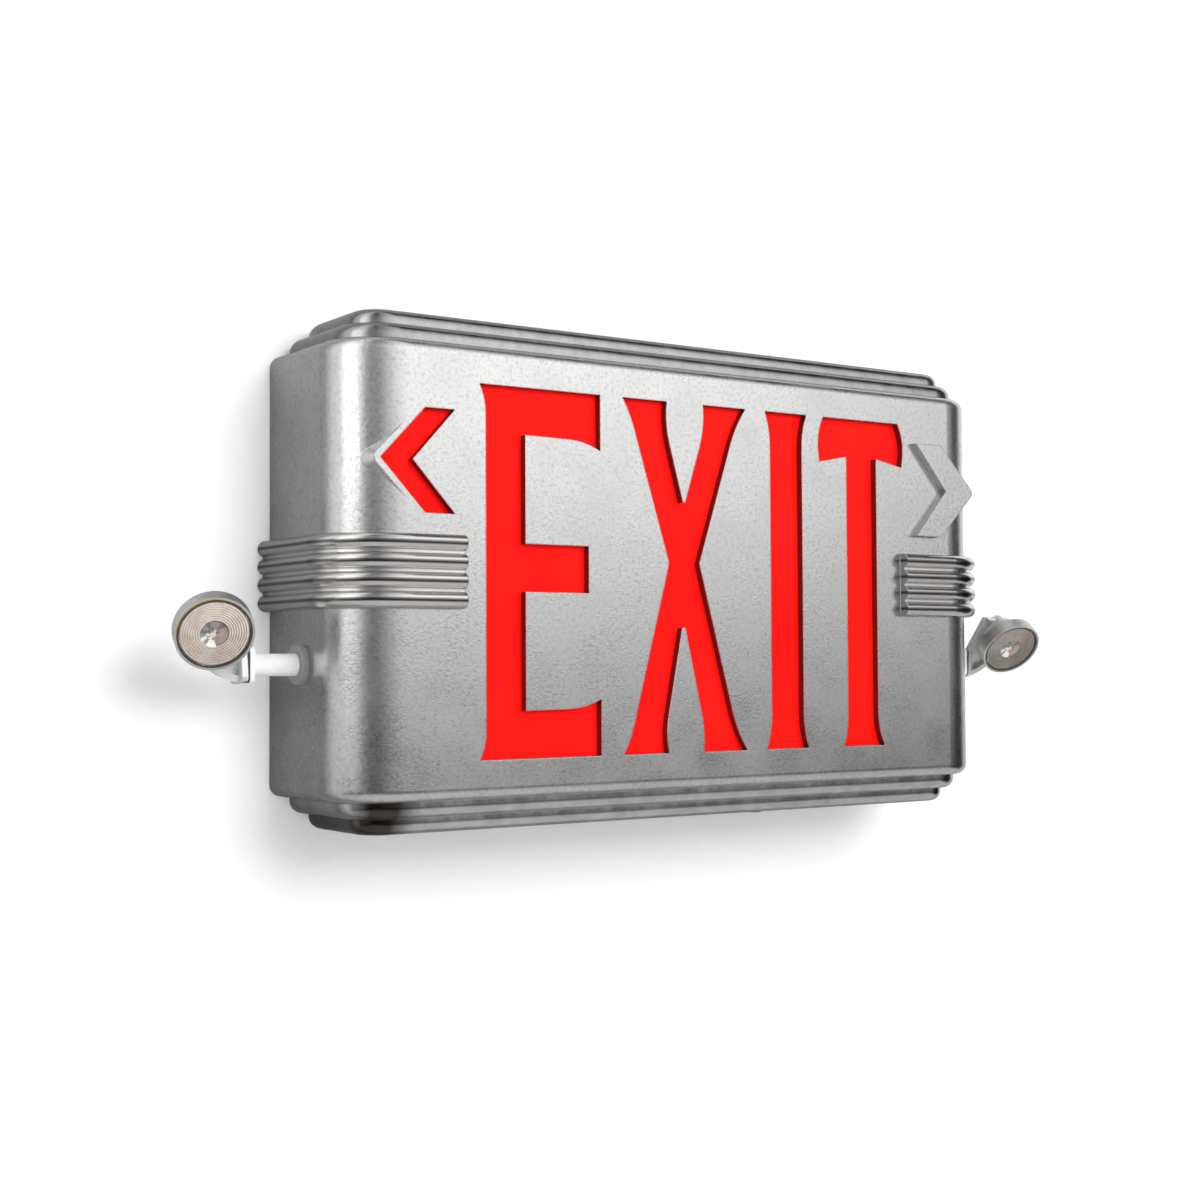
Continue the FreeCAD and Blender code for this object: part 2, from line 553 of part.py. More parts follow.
def back_plate():
    """Steel plate inside the cover's rim, with four tabs that take the cover screws."""
    body = new_body("back_plate")
    gap = "(dims.wall + dims.edge_gap)"
    wide = f"(dims.sign_width / 2 - {gap})"
    slim = ("(dims.sign_width / 2 - 2 * dims.tier_inset - dims.outer_rear - dims.edge_gap"
            " + sqrt((dims.outer_rear - dims.wall) ^ 2 - dims.outer_run ^ 2))")
    low, tall = f"(dims.main_height / 2 - {gap})", f"(dims.sign_height / 2 - {gap})"
    sketch = new_sketch(body, "back_outline", "XZ_Plane")
    outline(sketch, [(f"-{slim}", f"-{tall}"), (slim, f"-{tall}"), (slim, f"-{low}"), (wide, f"-{low}"),
                     (wide, low), (slim, low), (slim, tall), (f"-{slim}", tall), (f"-{slim}", low),
                     (f"-{wide}", low), (f"-{wide}", f"-{low}"), (f"-{slim}", f"-{low}")])
    feature(body, "Pad", sketch, "dims.plate_sheet")
    sketch = new_sketch(body, "back_tabs", "XZ_Plane")
    for x in tab_spots():
        for side in (-1, 1):
            rectangle(sketch, x, f"{side} * ({tall} - dims.plate_sheet / 2)", "dims.tab_width / 2",
                      "dims.plate_sheet / 2")
    feature(body, "Pad", sketch, "dims.tab_depth")
    sketch = new_sketch(body, "tab_holes", "XY_Plane")
    for x in tab_spots():
        ring(sketch, x, "-dims.tab_screw_depth", 1.7)
    feature(body, "Pocket", sketch, "dims.sign_height", middle=True)
    sketch = new_sketch(body, "back_holes", "XZ_Plane", "5")
    ring(sketch, "0", "0", "dims.conduit_radius")
    for side in (-1, 1):
        slot(sketch, f"{side} * dims.box_slot_spacing / 2", "0", "dims.box_slot_length",
             "dims.box_slot_radius")
        for end in (-1, 1):
            ring(sketch, f"{side} * dims.wall_hole_x / 2", f"{end} * dims.wall_hole_z / 2",
                 "dims.wall_hole_radius")
    for x, z, radius in core_spots() + strap_spots():
        ring(sketch, x, z, radius + 0.02)
    feature(body, "Pocket", sketch, "8")


def cover_screws():
    pieces = []
    for i, x in enumerate(tab_spots()):
        for side in (-1, 1):
            spot = (x, "-dims.tab_screw_depth", f"{side} * (dims.sign_height / 2 - 2.1)")
            aim = "-Z" if side > 0 else "+Z"
            pieces.append(screw(f"cover_screw_{i}_{'top' if side > 0 else 'base'}", 3.5, 2, 1.65, 7, spot, aim))
    keep(group("cover_screws", pieces), "cover_screws")


BOARD = {"x": -136, "z": -72, "wide": 92, "tall": 58, "stand": 9}


def charger_board():
    """Charging and transfer circuit: a board with its main components."""
    x, z, wide, tall = BOARD["x"], BOARD["z"], BOARD["wide"], BOARD["tall"]
    back = f"-(dims.plate_sheet + {BOARD['stand']})"
    face = f"{back} - dims.plate_sheet"
    card = block("card", (wide, "dims.plate_sheet", tall), (x, face, z))
    holes = joined("card_holes", [rod(f"card_hole_{i}", 1.7, 6, (sx, f"{face} - 2", sz), "+Y")
                                  for i, (sx, sz) in enumerate(stand_spots())])
    parts = [less("card_drilled", card, holes)]
    sizes = {"relay": (19, 15, 15, 12, 34), "socket": (30, 9, 8, 52, 44), "driver": (10, 3, 10, 40, 20),
             "fuse": (22, 6, 6, 56, 8), "plug": (12, 8, 7, 74, 24)}
    for name, (length, depth, height, dx, dz) in sizes.items():
        parts.append(block(f"card_{name}", (length, depth, height), (x + dx, f"{face} - {depth}", z + dz)))
    for i, (radius, depth, dx, dz) in enumerate(((5, 12, 16, 14), (5, 12, 29, 14), (3.2, 8, 46, 40))):
        parts.append(rod(f"card_capacitor_{i}", radius, depth, (x + dx, face, z + dz), "-Y"))
    keep(joined("charger_board", parts), "charger_board")


def stand_spots():
    """Corner fixings of the charger board."""
    x, z, wide, tall = BOARD["x"], BOARD["z"], BOARD["wide"], BOARD["tall"]
    return [(x + dx, z + dz) for dx in (5, wide - 5) for dz in (5, tall - 5)]


def board_fixings():
    posts, screws = [], []
    back = f"-(dims.plate_sheet + {BOARD['stand']})"
    for i, (x, z) in enumerate(stand_spots()):
        post = rod(f"stand_{i}_post", 3, BOARD["stand"], (x, "-dims.plate_sheet", z), "-Y")
        bore = rod(f"stand_{i}_bore", 1.3, 7, (x, back, z), "+Y")
        posts.append(less(f"stand_{i}", post, bore))
        screws.append(screw(f"board_screw_{i}", 2.8, 1.8, 1.28, 6, (x, f"{back} - dims.plate_sheet", z), "+Y"))
    keep(group("board_standoffs", posts), "board_standoffs")
    keep(group("board_screws", screws), "board_screws")


CORE = {"x": 28, "z": -50, "screw": 1.95}


def core_spots():
    """Screws of the transformer's foot: (x, z, radius)."""
    return [(CORE["x"] + dx, CORE["z"] + 18, CORE["screw"]) for dx in (-4, 46)]


def transformer():
    """Laminated core with a wound bobbin and a mounting foot."""
    x, z = CORE["x"], CORE["z"]
    foot = block("core_foot", (58, 1.5, 36), (x - 8, "-(dims.plate_sheet + 1.5)", z))
    core = block("core_stack", (42, 18, 36), (x, "-(dims.plate_sheet + 27)", z))
    bobbin = block("core_bobbin", (28, 34, 24), (x + 7, "-(dims.plate_sheet + 35.4)", z + 6))
    foot_holes = joined("core_holes", [rod(f"core_hole_{i}", radius + 0.15, 6, (sx, "-5", sz), "+Y")
                                       for i, (sx, sz, radius) in enumerate(core_spots())])
    keep(less("transformer", joined("core_blank", [foot, core, bobbin]), foot_holes), "transformer")
    screws = [screw(f"core_screw_{i}", 3.4, 2, radius, 3, (sx, "-(dims.plate_sheet + 1.5)", sz), "+Y")
              for i, (sx, sz, radius) in enumerate(core_spots())]
    keep(group("transformer_screws", screws), "transformer_screws")


PACK = {"x": 34, "z": 24, "cell": 11.3, "length": 43, "gap": 0.3, "foot": 9, "screw": 1.6}


def strap_spots():
    """Screws of the battery strap's feet: (x, z, radius)."""
    beside, z = PACK["gap"] + 5.5, PACK["z"] + PACK["length"] / 2
    return [(PACK["x"] - beside, z, PACK["screw"]), (PACK["x"] + 8 * PACK["cell"] + beside, z, PACK["screw"])]


def battery():
    """Pack of four cells side by side in a sleeve, under a steel strap."""
    cell, length = PACK["cell"], PACK["length"]
    pitch = 2 * cell
    level = f"-(dims.plate_sheet + {cell})"
    cells = [rod(f"cell_{i}", cell, length, (PACK["x"] + cell + i * pitch, level, PACK["z"])) for i in range(4)]
    sleeve = block("cell_sleeve", (3 * pitch, 2 * cell - 0.4, length),
                   (PACK["x"] + cell, f"{level} - {cell} + 0.2", PACK["z"]))
    keep(joined("battery_pack", cells + [sleeve]), "battery_pack")

    wide, sheet, gap = 4 * pitch, 1, PACK["gap"]
    low = PACK["z"] + length / 2 - 6
    front = f"-(dims.plate_sheet + {2 * cell + gap + sheet})"
    bridge = block("strap_bridge", (wide + 2 * (gap + sheet), sheet, 12), (PACK["x"] - gap - sheet, front, low))
    sides = [block(f"strap_side_{i}", (sheet, 2 * cell + gap + sheet, 12), (x, front, low))
             for i, x in enumerate((PACK["x"] - gap - sheet, PACK["x"] + wide + gap))]
    feet = [block(f"strap_foot_{i}", (PACK["foot"], sheet, 12), (x, f"-(dims.plate_sheet + {sheet})", low))
            for i, x in enumerate((PACK["x"] - gap - PACK["foot"], PACK["x"] + wide + gap))]
    holes = joined("strap_holes", [rod(f"strap_hole_{i}", radius + 0.15, 6, (x, "-5", z), "+Y")
                                   for i, (x, z, radius) in enumerate(strap_spots())])
    keep(less("battery_strap", joined("strap_blank", [bridge] + sides + feet), holes), "battery_strap")
    screws = [screw(f"strap_screw_{i}", 2.8, 1.8, radius, 2.5, (x, f"-(dims.plate_sheet + {sheet})", z), "+Y")
              for i, (x, z, radius) in enumerate(strap_spots())]
    keep(group("strap_screws", screws), "strap_screws")


def terminal_block():
    """Three-way block for the supply wires, beside the conduit entry."""
    x, z = -60, 30
    base = block("terminal_base", (36, 16, 18), (x, "-(dims.plate_sheet + 16)", z))
    tools = []
    for i in range(3):
        middle = x + 6 + 12 * i
        tools.append(rod(f"terminal_screw_{i}", 2.2, 6, (middle, "-(dims.plate_sheet + 11)", z + 9), "-Y"))
        tools.append(rod(f"terminal_wire_{i}", 2, 8, (middle, "-(dims.plate_sheet + 8)", z - 1), "+Z"))
    keep(less("terminal_block", base, joined("terminal_tools", tools)), "terminal_block")


def lead(label, spots, radius=1.3, bend=6):
    """Sleeved wire pair along straight runs, with tangent arcs at the turns."""
    points = [FreeCAD.Vector(*spot) for spot in spots]
    edges, start = [], points[0]
    for before, corner, after in zip(points, points[1:], points[2:]):
        come = (before - corner).normalize()
        leave = (after - corner).normalize()
        half = come.getAngle(leave) / 2
        back = bend / math.tan(half)
        into, out = corner + come * back, corner + leave * back
        centre = corner + (come + leave).normalize() * (bend / math.sin(half))
        crown = centre + (corner - centre).normalize() * bend
        edges += [Part.LineSegment(start, into).toShape(), Part.Arc(into, crown, out).toShape()]
        start = out
    edges.append(Part.LineSegment(start, points[-1]).toShape())
    section = Part.Wire(Part.Circle(points[0], points[1] - points[0], radius).toShape())
    shape = Part.Wire(edges).makePipeShell([section], True, False)
    thing = doc.addObject("Part::Feature", label)
    thing.Shape = shape
    keep(thing, label)


def leads():
    """Clipped internal leads: both lamps and the battery to the charger board."""
    arm_y, arm_z = -value("dims.arm_depth"), value("dims.arm_level")
    inner = value("dims.sign_width / 2") - 9.6
    socket = (-21.2, -24)
    plug = (-56, -20.2, -44.5)
    lead("left_lamp_lead", [(-inner, arm_y, arm_z), (-inner + 17, arm_y, arm_z), (-inner + 26, -30, socket[1]),
                            (-98, -30, socket[1]), (-98, *socket)])
    lead("right_lamp_lead", [(inner, arm_y, arm_z), (inner - 22, arm_y, arm_z), (108, arm_y, -64),
                             (-28, -28, -64), (-62, -34, socket[1]), (-84, -34, socket[1]), (-84, *socket)])
    lead("battery_lead", [(40, -13, PACK["z"]), (40, -13, 12), (14, -17, 15), (-38, -28, 14),
                          (plug[0], -30, -8), (plug[0], -30, plug[2]), plug], radius=1.1, bend=4.5)


# ---------------------------------------------------------------- test button and pilot light

def underside_controls():
    """Sprung test button in a bush, its switch, and the pilot light beside it."""
    floor = "-dims.sign_height / 2"
    inside = f"({floor} + dims.wall)"
    x, y, radius, bush = "dims.button_x", "-dims.button_depth", "dims.button_radius", "dims.bush_radius"
    cap_low = f"{floor} - 2.6"

    stem = rod("button_stem", radius, 10.4, (x, y, cap_low))
    collar = rod("button_collar", f"{radius} + 1", 1.2, (x, y, f"{cap_low} + 9.2"))
    nib = rod("button_nib", f"{radius} - 1", 3, (x, y, f"{cap_low} + 10"))
    keep(joined("test_button", [stem, collar, nib]), "test_button")

    outer = joined("bush_blank", [rod("bush_tube", bush, 6.6, (x, y, floor)),
                                  rod("bush_rim", f"{bush} + 1.5", 1.2, (x, y, f"{floor} - 1.2"))])
    bore = rod("bush_bore", f"{radius} + dims.running_gap", 12, (x, y, f"{floor} - 2"))
    keep(less("button_bush", outer, bore), "button_bush")

    wire_radius, coil_height = 0.35, 6
    seat = f"{cap_low} + 10.4 + {wire_radius}"
    spring = doc.addObject("Part::Helix", "spring_path")
    spring.Angle = 0
    bind(spring, {"Pitch": 2, "Height": coil_height, "Radius": f"{radius} - 0.2"})
    place(spring, x, y, seat)
    wire = doc.addObject("Part::Circle", "spring_wire")
    wire.Placement.Rotation = AIM["-Y"]
    bind(wire, {"Radius": wire_radius})
    place(wire, f"{x} + {radius} - 0.2", y, seat)
    coil = doc.addObject("Part::Sweep", "button_spring")
    coil.Sections = [wire]
    coil.Spine = (spring, ["Edge1"])
    coil.Solid = True
    coil.Frenet = True
    keep(coil, "button_spring")

    box = block("switch_box", (16, 13, 10),
                (f"{x} - 8", f"{y} - 6.5", f"{seat} + {coil_height} + {wire_radius}"))
    keep(box, "test_switch")

    dome = joined("pilot_blank", [
        rod("pilot_stem", "dims.pilot_radius", 9, ("dims.pilot_x", y, floor)),
        rod("pilot_rim", "dims.pilot_radius + 1", 1.2, ("dims.pilot_x", y, f"{floor} - 1.2"))])
    keep(dome, "pilot_light")


# ---------------------------------------------------------------- arms and lamp heads

def rounded_block(name, x, thickness):
    """Upright block with round corners, centred on the arm, from x outward."""
    wide, tall, round_off = "dims.flange_wide", "dims.flange_tall", 2
    blank = block(name, (thickness, wide, tall),
                  (x, f"-dims.arm_depth - {wide} / 2", f"dims.arm_level - {tall} / 2"))
    doc.recompute()
    fillet = doc.addObject("Part::Fillet", f"{name}_round")
    fillet.Base = blank
    fillet.Edges = [(i, round_off, round_off) for i, edge in enumerate(blank.Shape.Edges, start=1)
                    if edge.BoundBox.XLength > value(thickness) - 0.01]
    return fillet


def arm_axis(x):
    return x, "-dims.arm_depth", "dims.arm_level"


def hexagon(name, across, length, start, aim):
    """Hexagonal prism, such as a nut."""
    prism = doc.addObject("Part::Prism", name)
    prism.Polygon = 6
    prism.Placement.Rotation = AIM[aim]
    bind(prism, {"Circumradius": f"{across} / sqrt(3)", "Height": length})
    return place(prism, *start)


def mirrored(thing, label):
    """Copy of a right-hand piece, reflected across the sign's middle."""
    copy = doc.addObject("Part::Mirroring", label)
    copy.Source = thing
    copy.Base = FreeCAD.Vector(0, 0, 0)
    copy.Normal = FreeCAD.Vector(1, 0, 0)
    return keep(copy, label)


def lamp_arm():
    """Hollow arm from the cover's side, with a threaded spigot inside and a square pad outside."""
    side = "dims.sign_width / 2"
    pad = rounded_block("arm_pad", "dims.arm_end - 2", "2")
    tube = rod("arm_tube", "dims.arm_radius - 0.5", f"dims.arm_end - {side} - 1", arm_axis(side), "+X")
    collar = rod("arm_collar", "dims.arm_radius + 3", 2.4, arm_axis(side), "+X")
    spigot = rod("arm_spigot", "dims.arm_radius", 12, arm_axis(f"{side} - 10"), "+X")
    bore = rod("arm_bore", "dims.arm_bore", 60, arm_axis(f"{side} - 20"), "+X")
    arm = less("right_arm", joined("arm_blank", [pad, tube, collar, spigot]), bore)
    keep(arm, "right_arm")
    mirrored(arm, "left_arm")

    nut_at = f"{side} - dims.wall - 4"
    nut = less("right_arm_nut", hexagon("nut_blank", 15, 4, arm_axis(nut_at), "+X"),
               rod("nut_bore", "dims.arm_radius + 0.02", 8, arm_axis(f"{nut_at} - 2"), "+X"))
    keep(nut, "right_arm_nut")
    mirrored(nut, "left_arm_nut")

    gasket = less("right_arm_gasket", rounded_block("gasket_blank", "dims.arm_end", "dims.gasket_thickness"),
                  rod("gasket_bore", "dims.arm_bore + 0.1", 8, arm_axis("dims.arm_end - 3"), "+X"))
    keep(gasket, "right_arm_gasket")
    mirrored(gasket, "left_arm_gasket")


def about_x(angle):
    return FreeCAD.Rotation(FreeCAD.Vector(1, 0, 0), value(angle))


def tilted(thing, angle, rise=0):
    """Turn a piece drawn about the hub to an angle, and shift it along its own upright axis."""
    thing.Placement.Rotation = about_x(angle)
    move = about_x(angle).multVec(FreeCAD.Vector(0, 0, rise))
    return place(thing, "dims.hub_spacing", f"-dims.hub_depth + {move.y}", f"dims.hub_level + {move.z}")


def swung(thing, label, hand):
    """Finished copy of a right-hand piece on one side, swung about that arm to its lamp's tilt."""
    copy = doc.addObject("Part::Feature", label)
    shape = thing.Shape.copy()
    if hand == "left":
        shape = shape.mirror(FreeCAD.Vector(), FreeCAD.Vector(1, 0, 0))
    copy.Shape = shape
    axis = FreeCAD.Vector(0, -value("dims.arm_depth"), value("dims.arm_level"))
    copy.Placement = FreeCAD.Placement(FreeCAD.Vector(), about_x(f"dims.tilt_{hand}"), axis)
    return keep(copy, label)


def lamp_bracket():
    """Gusset from the arm's pad up to a forked hub behind the lamp, with a stud into the arm."""
    x_in = "dims.arm_end + dims.gasket_thickness + dims.running_gap"
    flange = rounded_block("bracket_flange", x_in, "dims.flange_thickness")
    stud = rod("bracket_stud", "dims.arm_bore - dims.running_gap", 12, arm_axis(f"{x_in} - 11"), "+X")
    stud_bore = rod("stud_bore", 1.6, 20, arm_axis(f"{x_in} - 14"), "+X")

    web = doc.addObject("PartDesign::Body", "bracket_web")
    inner = f"({x_in} + dims.flange_thickness - 0.6 - dims.hub_spacing)"
    foot = "((dims.arm_level - dims.hub_level) / cos(dims.web_tilt * 1 deg))"
    sketch = new_sketch(web, "web_outline", "XZ_Plane", -2.3)
    outline(sketch, [(inner, f"{foot} - 6.8"), (-12, f"{foot} - 6.4", 26), (3.2, -17), (3.2, -6),
                     (-4.8, -6), (-4.8, 4), (-8, 4), (inner, f"{foot} + 6")])
    feature(web, "Pad", sketch, 2.6)
    # stiffening rim under the web
    sketch = new_sketch(web, "web_rim", "XZ_Plane", -4)
    outline(sketch, [(inner, f"{foot} - 6.8"), (-12, f"{foot} - 6.4", 26), (3.2, -17), (0.2, -16.6, -23),
                     (-12.8, f"{foot} - 3.8"), (inner, f"{foot} - 4.2")])
    feature(web, "Pad", sketch, 7)
    tilted(web, "dims.web_tilt")

    # the fork: a spine with two ears that hold the lamp's lug
    fork = doc.addObject("PartDesign::Body", "bracket_fork")
    sketch = new_sketch(fork, "fork_spine", "XZ_Plane", -1.3)
    outline(sketch, [(-8, -7), (-4.6, -7), (-4.6, 4.6), (-8, 4.6)])
    feature(fork, "Pad", sketch, 2.6)
    for name, low in (("ear_top", 2.6), ("ear_base", -4.6)):
        sketch = new_sketch(fork, name, "XY_Plane", low)
        outline(sketch, [(-7.5, -1.3), (-3.3, -1.3), (-3.3, -0.5, 3.34), (0, -3.3, 3.3), (3.3, 0, 3.3),
                         (0, 3.3, 3.3), (-3.3, 0.6), (-7.5, 1.3)])
        feature(fork, "Pad", sketch, 2)
    sketch = new_sketch(fork, "ear_bore", "XY_Plane")
    ring(sketch, 0, 0, "dims.pin_radius")
    feature(fork, "Pocket", sketch, 30, middle=True)
    tilted(fork, "dims.head_tilt")

    whole = less("bracket_whole", joined("bracket_blank", [flange, stud, web, fork]), stud_bore)
    pin = tilted(rod("pan_pin", "dims.pin_radius - 0.01", 9.6, ("0", "0", "0")), "dims.head_tilt", -4.9)
    pin_head = tilted(rod("pan_pin_head", 2, 1, ("0", "0", "0")), "dims.head_tilt", 4.6)
    pin_whole = joined("pan_pin_whole", [pin, pin_head])
    doc.recompute()
    for hand in ("left", "right"):
        swung(whole, f"{hand}_bracket", hand)
        swung(pin_whole, f"{hand}_pan_pin", hand)


def turned(label, corners):
    """Body turned about the lamp's axis. Corners are (radius, distance ahead of the hub)."""
    body = doc.addObject("PartDesign::Body", label)
    sketch = new_sketch(body, f"{label}_section", "XY_Plane")
    outline(sketch, [(c[0], f"-({c[1]})") + tuple(c[2:]) for c in corners])
    turn = body.newObject("PartDesign::Revolution", f"{label}_turn")
    turn.Profile = sketch
    turn.ReferenceAxis = (sketch, ["V_Axis"])
    turn.Angle = 360
    doc.recompute()
    return body


def head_pieces():
    """One lamp head about its hub, aimed level along -Y: (name, object) pairs."""
    front = "dims.hub_to_front"
    back = "(dims.hub_to_front - dims.shell_depth)"
    side = "(dims.hub_to_front - dims.shell_side)"
    outer, skin, lens = "dims.shell_radius", "dims.shell_wall", "dims.lens_radius"
    mouth = f"({outer} - dims.shell_lip)"
    dome = 9.5

    shell = turned("shell_cup", [
        ("0", back), ("dims.shell_back", back, f"{dome}"), (outer, side), (outer, f"{front} + 0.6"),
        (mouth, f"{front} + 0.6"), (mouth, f"{front} - 2.6"),
        (f"{outer} - {skin}", f"{front} - 2.6"), (f"{outer} - {skin}", f"{side} + 0.3", f"-({dome} - 1)"),
        ("dims.shell_back - 0.6", f"{back} + {skin}"), ("0", f"{back} + {skin}")])
    lug = doc.addObject("PartDesign::Body", "shell_lug")
    sketch = new_sketch(lug, "lug_outline", "XY_Plane", -2.4)
    reach = f"-({back} + 0.5)"
    outline(sketch, [(-2.9, reach), (2.9, reach), (3, 0, 3), (0, 3, 3), (-3, 0)])
    feature(lug, "Pad", sketch, 4.8)
    sketch = new_sketch(lug, "lug_bore", "XY_Plane")
    ring(sketch, 0, 0, "dims.pin_radius + dims.running_gap")
    feature(lug, "Pocket", sketch, 20, middle=True)
    shell_whole = joined("shell_whole", [shell, lug])

    brass = turned("ring_turned", [
        (f"{lens} + 0.65", f"{front} - 2.4"), (f"{mouth} - 0.05", f"{front} - 2.4"),
        (f"{mouth} - 0.05", f"{front} + 0.4"), (f"{lens} + 0.65", f"{front} + 0.4")])
    gasket = turned("gasket_turned", [
        (f"{lens} + 0.05", f"{front} - 2.5"), (f"{lens} + 0.6", f"{front} - 2.5"),
        (f"{lens} + 0.6", f"{front} + 0.25"), (f"{lens} + 0.05", f"{front} + 0.25")])
    pane = turned("lens_turned", [
        ("0", f"{front} - 1.8"), (lens, f"{front} - 1.8"), (lens, front), ("0", front)])
    dish = turned("dish_turned", [
        ("5.3", f"{front} - 7.2"), (f"{lens} - 0.3", f"{front} - 2.9"), (f"{lens} - 0.3", f"{front} - 2.1"),
        (f"{lens} - 1", f"{front} - 2.1"), ("5.3", f"{front} - 6.4")])
    optic = turned("optic_turned", [
        ("0", f"{front} - 7.8"), ("2", f"{front} - 8.2"), ("5", f"{front} - 2.4"), ("0", f"{front} - 2.4")])
    board = turned("board_turned", [
        ("0", f"{front} - 10.8"), ("9", f"{front} - 10.8"), ("9", f"{front} - 9.4"), ("1.6", f"{front} - 9.4"),
        ("1.6", f"{front} - 8.6"), ("0", f"{front} - 8.6")])
    return (("lamp_shell", shell_whole), ("lens_ring", brass), ("lens_gasket", gasket), ("lamp_lens", pane),
            ("lamp_dish", dish), ("lamp_optic", optic), ("lamp_board", board))


def lamp_heads():
    """Both heads are the same pieces, each swung about its arm and panned on its hub."""
    pieces = head_pieces()
    doc.recompute()
    axis = FreeCAD.Vector(0, -value("dims.arm_depth"), value("dims.arm_level"))
    for hand, side in (("left", -1), ("right", 1)):
        pan = FreeCAD.Rotation(FreeCAD.Vector(0, 0, 1), -value(f"dims.pan_{hand}"))
        hub = FreeCAD.Vector(side * value("dims.hub_spacing"), -value("dims.hub_depth"),
                             value("dims.hub_level"))
        aimed = FreeCAD.Placement(hub, about_x("dims.head_tilt").multiply(pan))
        swing = FreeCAD.Placement(FreeCAD.Vector(), about_x(f"dims.tilt_{hand}"), axis)
        for name, source in pieces:
            copy = doc.addObject("Part::Feature", f"{hand}_{name}")
            copy.Shape = source.Shape.copy()
            copy.Placement = swing.multiply(aimed)
            keep(copy, f"{hand}_{name}")


# ---------------------------------------------------------------- build and write

def main():
    sign_cover()
    chevron_plate()
    red_panel()
    reflector_tray()
    tray_screws()
    light_strip("light_strip_upper", 1)
    light_strip("light_strip_lower", -1)
    back_plate()
    cover_screws()
    charger_board()
    board_fixings()
    transformer()
    battery()
    terminal_block()
    leads()
    underside_controls()
    lamp_arm()
    lamp_bracket()
    lamp_heads()
    doc.recompute()
    failed = [f"{thing.Name}: {thing.State}" for thing in doc.Objects
              if "Invalid" in thing.State or "Error" in thing.State]
    failed += [f"{thing.Label}: bad shape" for thing in subparts
               if thing.Shape.isNull() or not thing.Shape.isValid()]
    if failed:
        raise RuntimeError("; ".join(failed))
    os.makedirs("parts", exist_ok=True)
    for thing in subparts:
        thing.Shape.exportStep(f"parts/{thing.Label}.step")
        print(f"{thing.Label}: {thing.Shape.Volume / 1000:.2f} cm3, {len(thing.Shape.Solids)} solids")


main()
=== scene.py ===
import json
import math

import bpy
import bmesh
from mathutils import Matrix, Vector


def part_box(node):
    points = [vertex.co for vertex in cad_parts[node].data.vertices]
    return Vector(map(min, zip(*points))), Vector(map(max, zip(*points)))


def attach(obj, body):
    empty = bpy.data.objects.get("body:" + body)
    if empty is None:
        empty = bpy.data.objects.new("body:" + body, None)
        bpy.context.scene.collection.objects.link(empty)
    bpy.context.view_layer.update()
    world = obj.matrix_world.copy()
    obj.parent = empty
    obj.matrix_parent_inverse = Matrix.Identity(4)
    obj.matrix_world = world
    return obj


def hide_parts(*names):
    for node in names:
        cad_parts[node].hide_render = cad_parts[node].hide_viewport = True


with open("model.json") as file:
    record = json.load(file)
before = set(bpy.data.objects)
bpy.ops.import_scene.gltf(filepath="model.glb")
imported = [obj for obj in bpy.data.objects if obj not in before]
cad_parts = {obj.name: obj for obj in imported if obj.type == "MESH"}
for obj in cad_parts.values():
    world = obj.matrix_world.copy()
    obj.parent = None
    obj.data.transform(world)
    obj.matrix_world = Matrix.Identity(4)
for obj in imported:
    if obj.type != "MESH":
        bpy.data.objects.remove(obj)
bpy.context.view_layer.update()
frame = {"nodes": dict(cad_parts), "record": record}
nodes = frame["nodes"]
print("frame loaded:", len(nodes), "nodes")

camera = {"place": (-0.49121, -0.70232, -0.038756), "yaw": 34.5897, "pitch": 2.1043, "roll": -0.2900,
          "lens": 54.43, "sensor": 36, "near": 0.02}


def addCamera(want):
    yaw, pitch, roll = (math.radians(want[key]) for key in ("yaw", "pitch", "roll"))
    ahead = Vector((math.sin(yaw) * math.cos(pitch), math.cos(yaw) * math.cos(pitch), math.sin(pitch)))
    level = Vector((math.cos(yaw), -math.sin(yaw), 0))
    upright = level.cross(ahead)
    side = level * math.cos(roll) + upright * math.sin(roll)
    top = upright * math.cos(roll) - level * math.sin(roll)
    turn = Matrix((side, top, -ahead)).transposed()
    lens = bpy.data.cameras.new("viewCamera")
    lens.lens = want["lens"]
    lens.sensor_width = want["sensor"]
    lens.clip_start = want["near"]
    seen = bpy.data.objects.new("viewCamera", lens)
    seen.matrix_world = Matrix.Translation(want["place"]) @ turn.to_4x4()
    bpy.context.scene.collection.objects.link(seen)
    bpy.context.scene.camera = seen


addCamera(camera)
bpy.context.scene.view_settings.view_transform = "Standard"
print("camera set")


def startMaterial(title, base, metallic=0.0, roughness=0.5):
    material = bpy.data.materials.new(title)
    material.use_nodes = True
    tree = material.node_tree
    shader = tree.nodes["Principled BSDF"]
    shader.inputs["Base Color"].default_value = (*base, 1)
    shader.inputs["Metallic"].default_value = metallic
    shader.inputs["Roughness"].default_value = roughness
    coords = tree.nodes.new("ShaderNodeTexCoord")
    return material, tree, shader, coords.outputs["Object"]


def noise(tree, coords, size, detail=3.0, roughness=0.55):  # size is that of the largest clouds, in metres
    node = tree.nodes.new("ShaderNodeTexNoise")
    node.inputs["Scale"].default_value = 1 / size
    node.inputs["Detail"].default_value = detail
    node.inputs["Roughness"].default_value = roughness
    tree.links.new(coords, node.inputs["Vector"])
    return node.outputs["Fac"]


def ramp(tree, source, stops):
    node = tree.nodes.new("ShaderNodeValToRGB")
    elements = node.color_ramp.elements
    while len(elements) > 1:
        elements.remove(elements[-1])
    elements[0].position, elements[0].color = stops[0][0], (*stops[0][1], 1)
    for position, colour in stops[1:]:
        elements.new(position).color = (*colour, 1)
    tree.links.new(source, node.inputs["Fac"])
    return node.outputs["Color"]


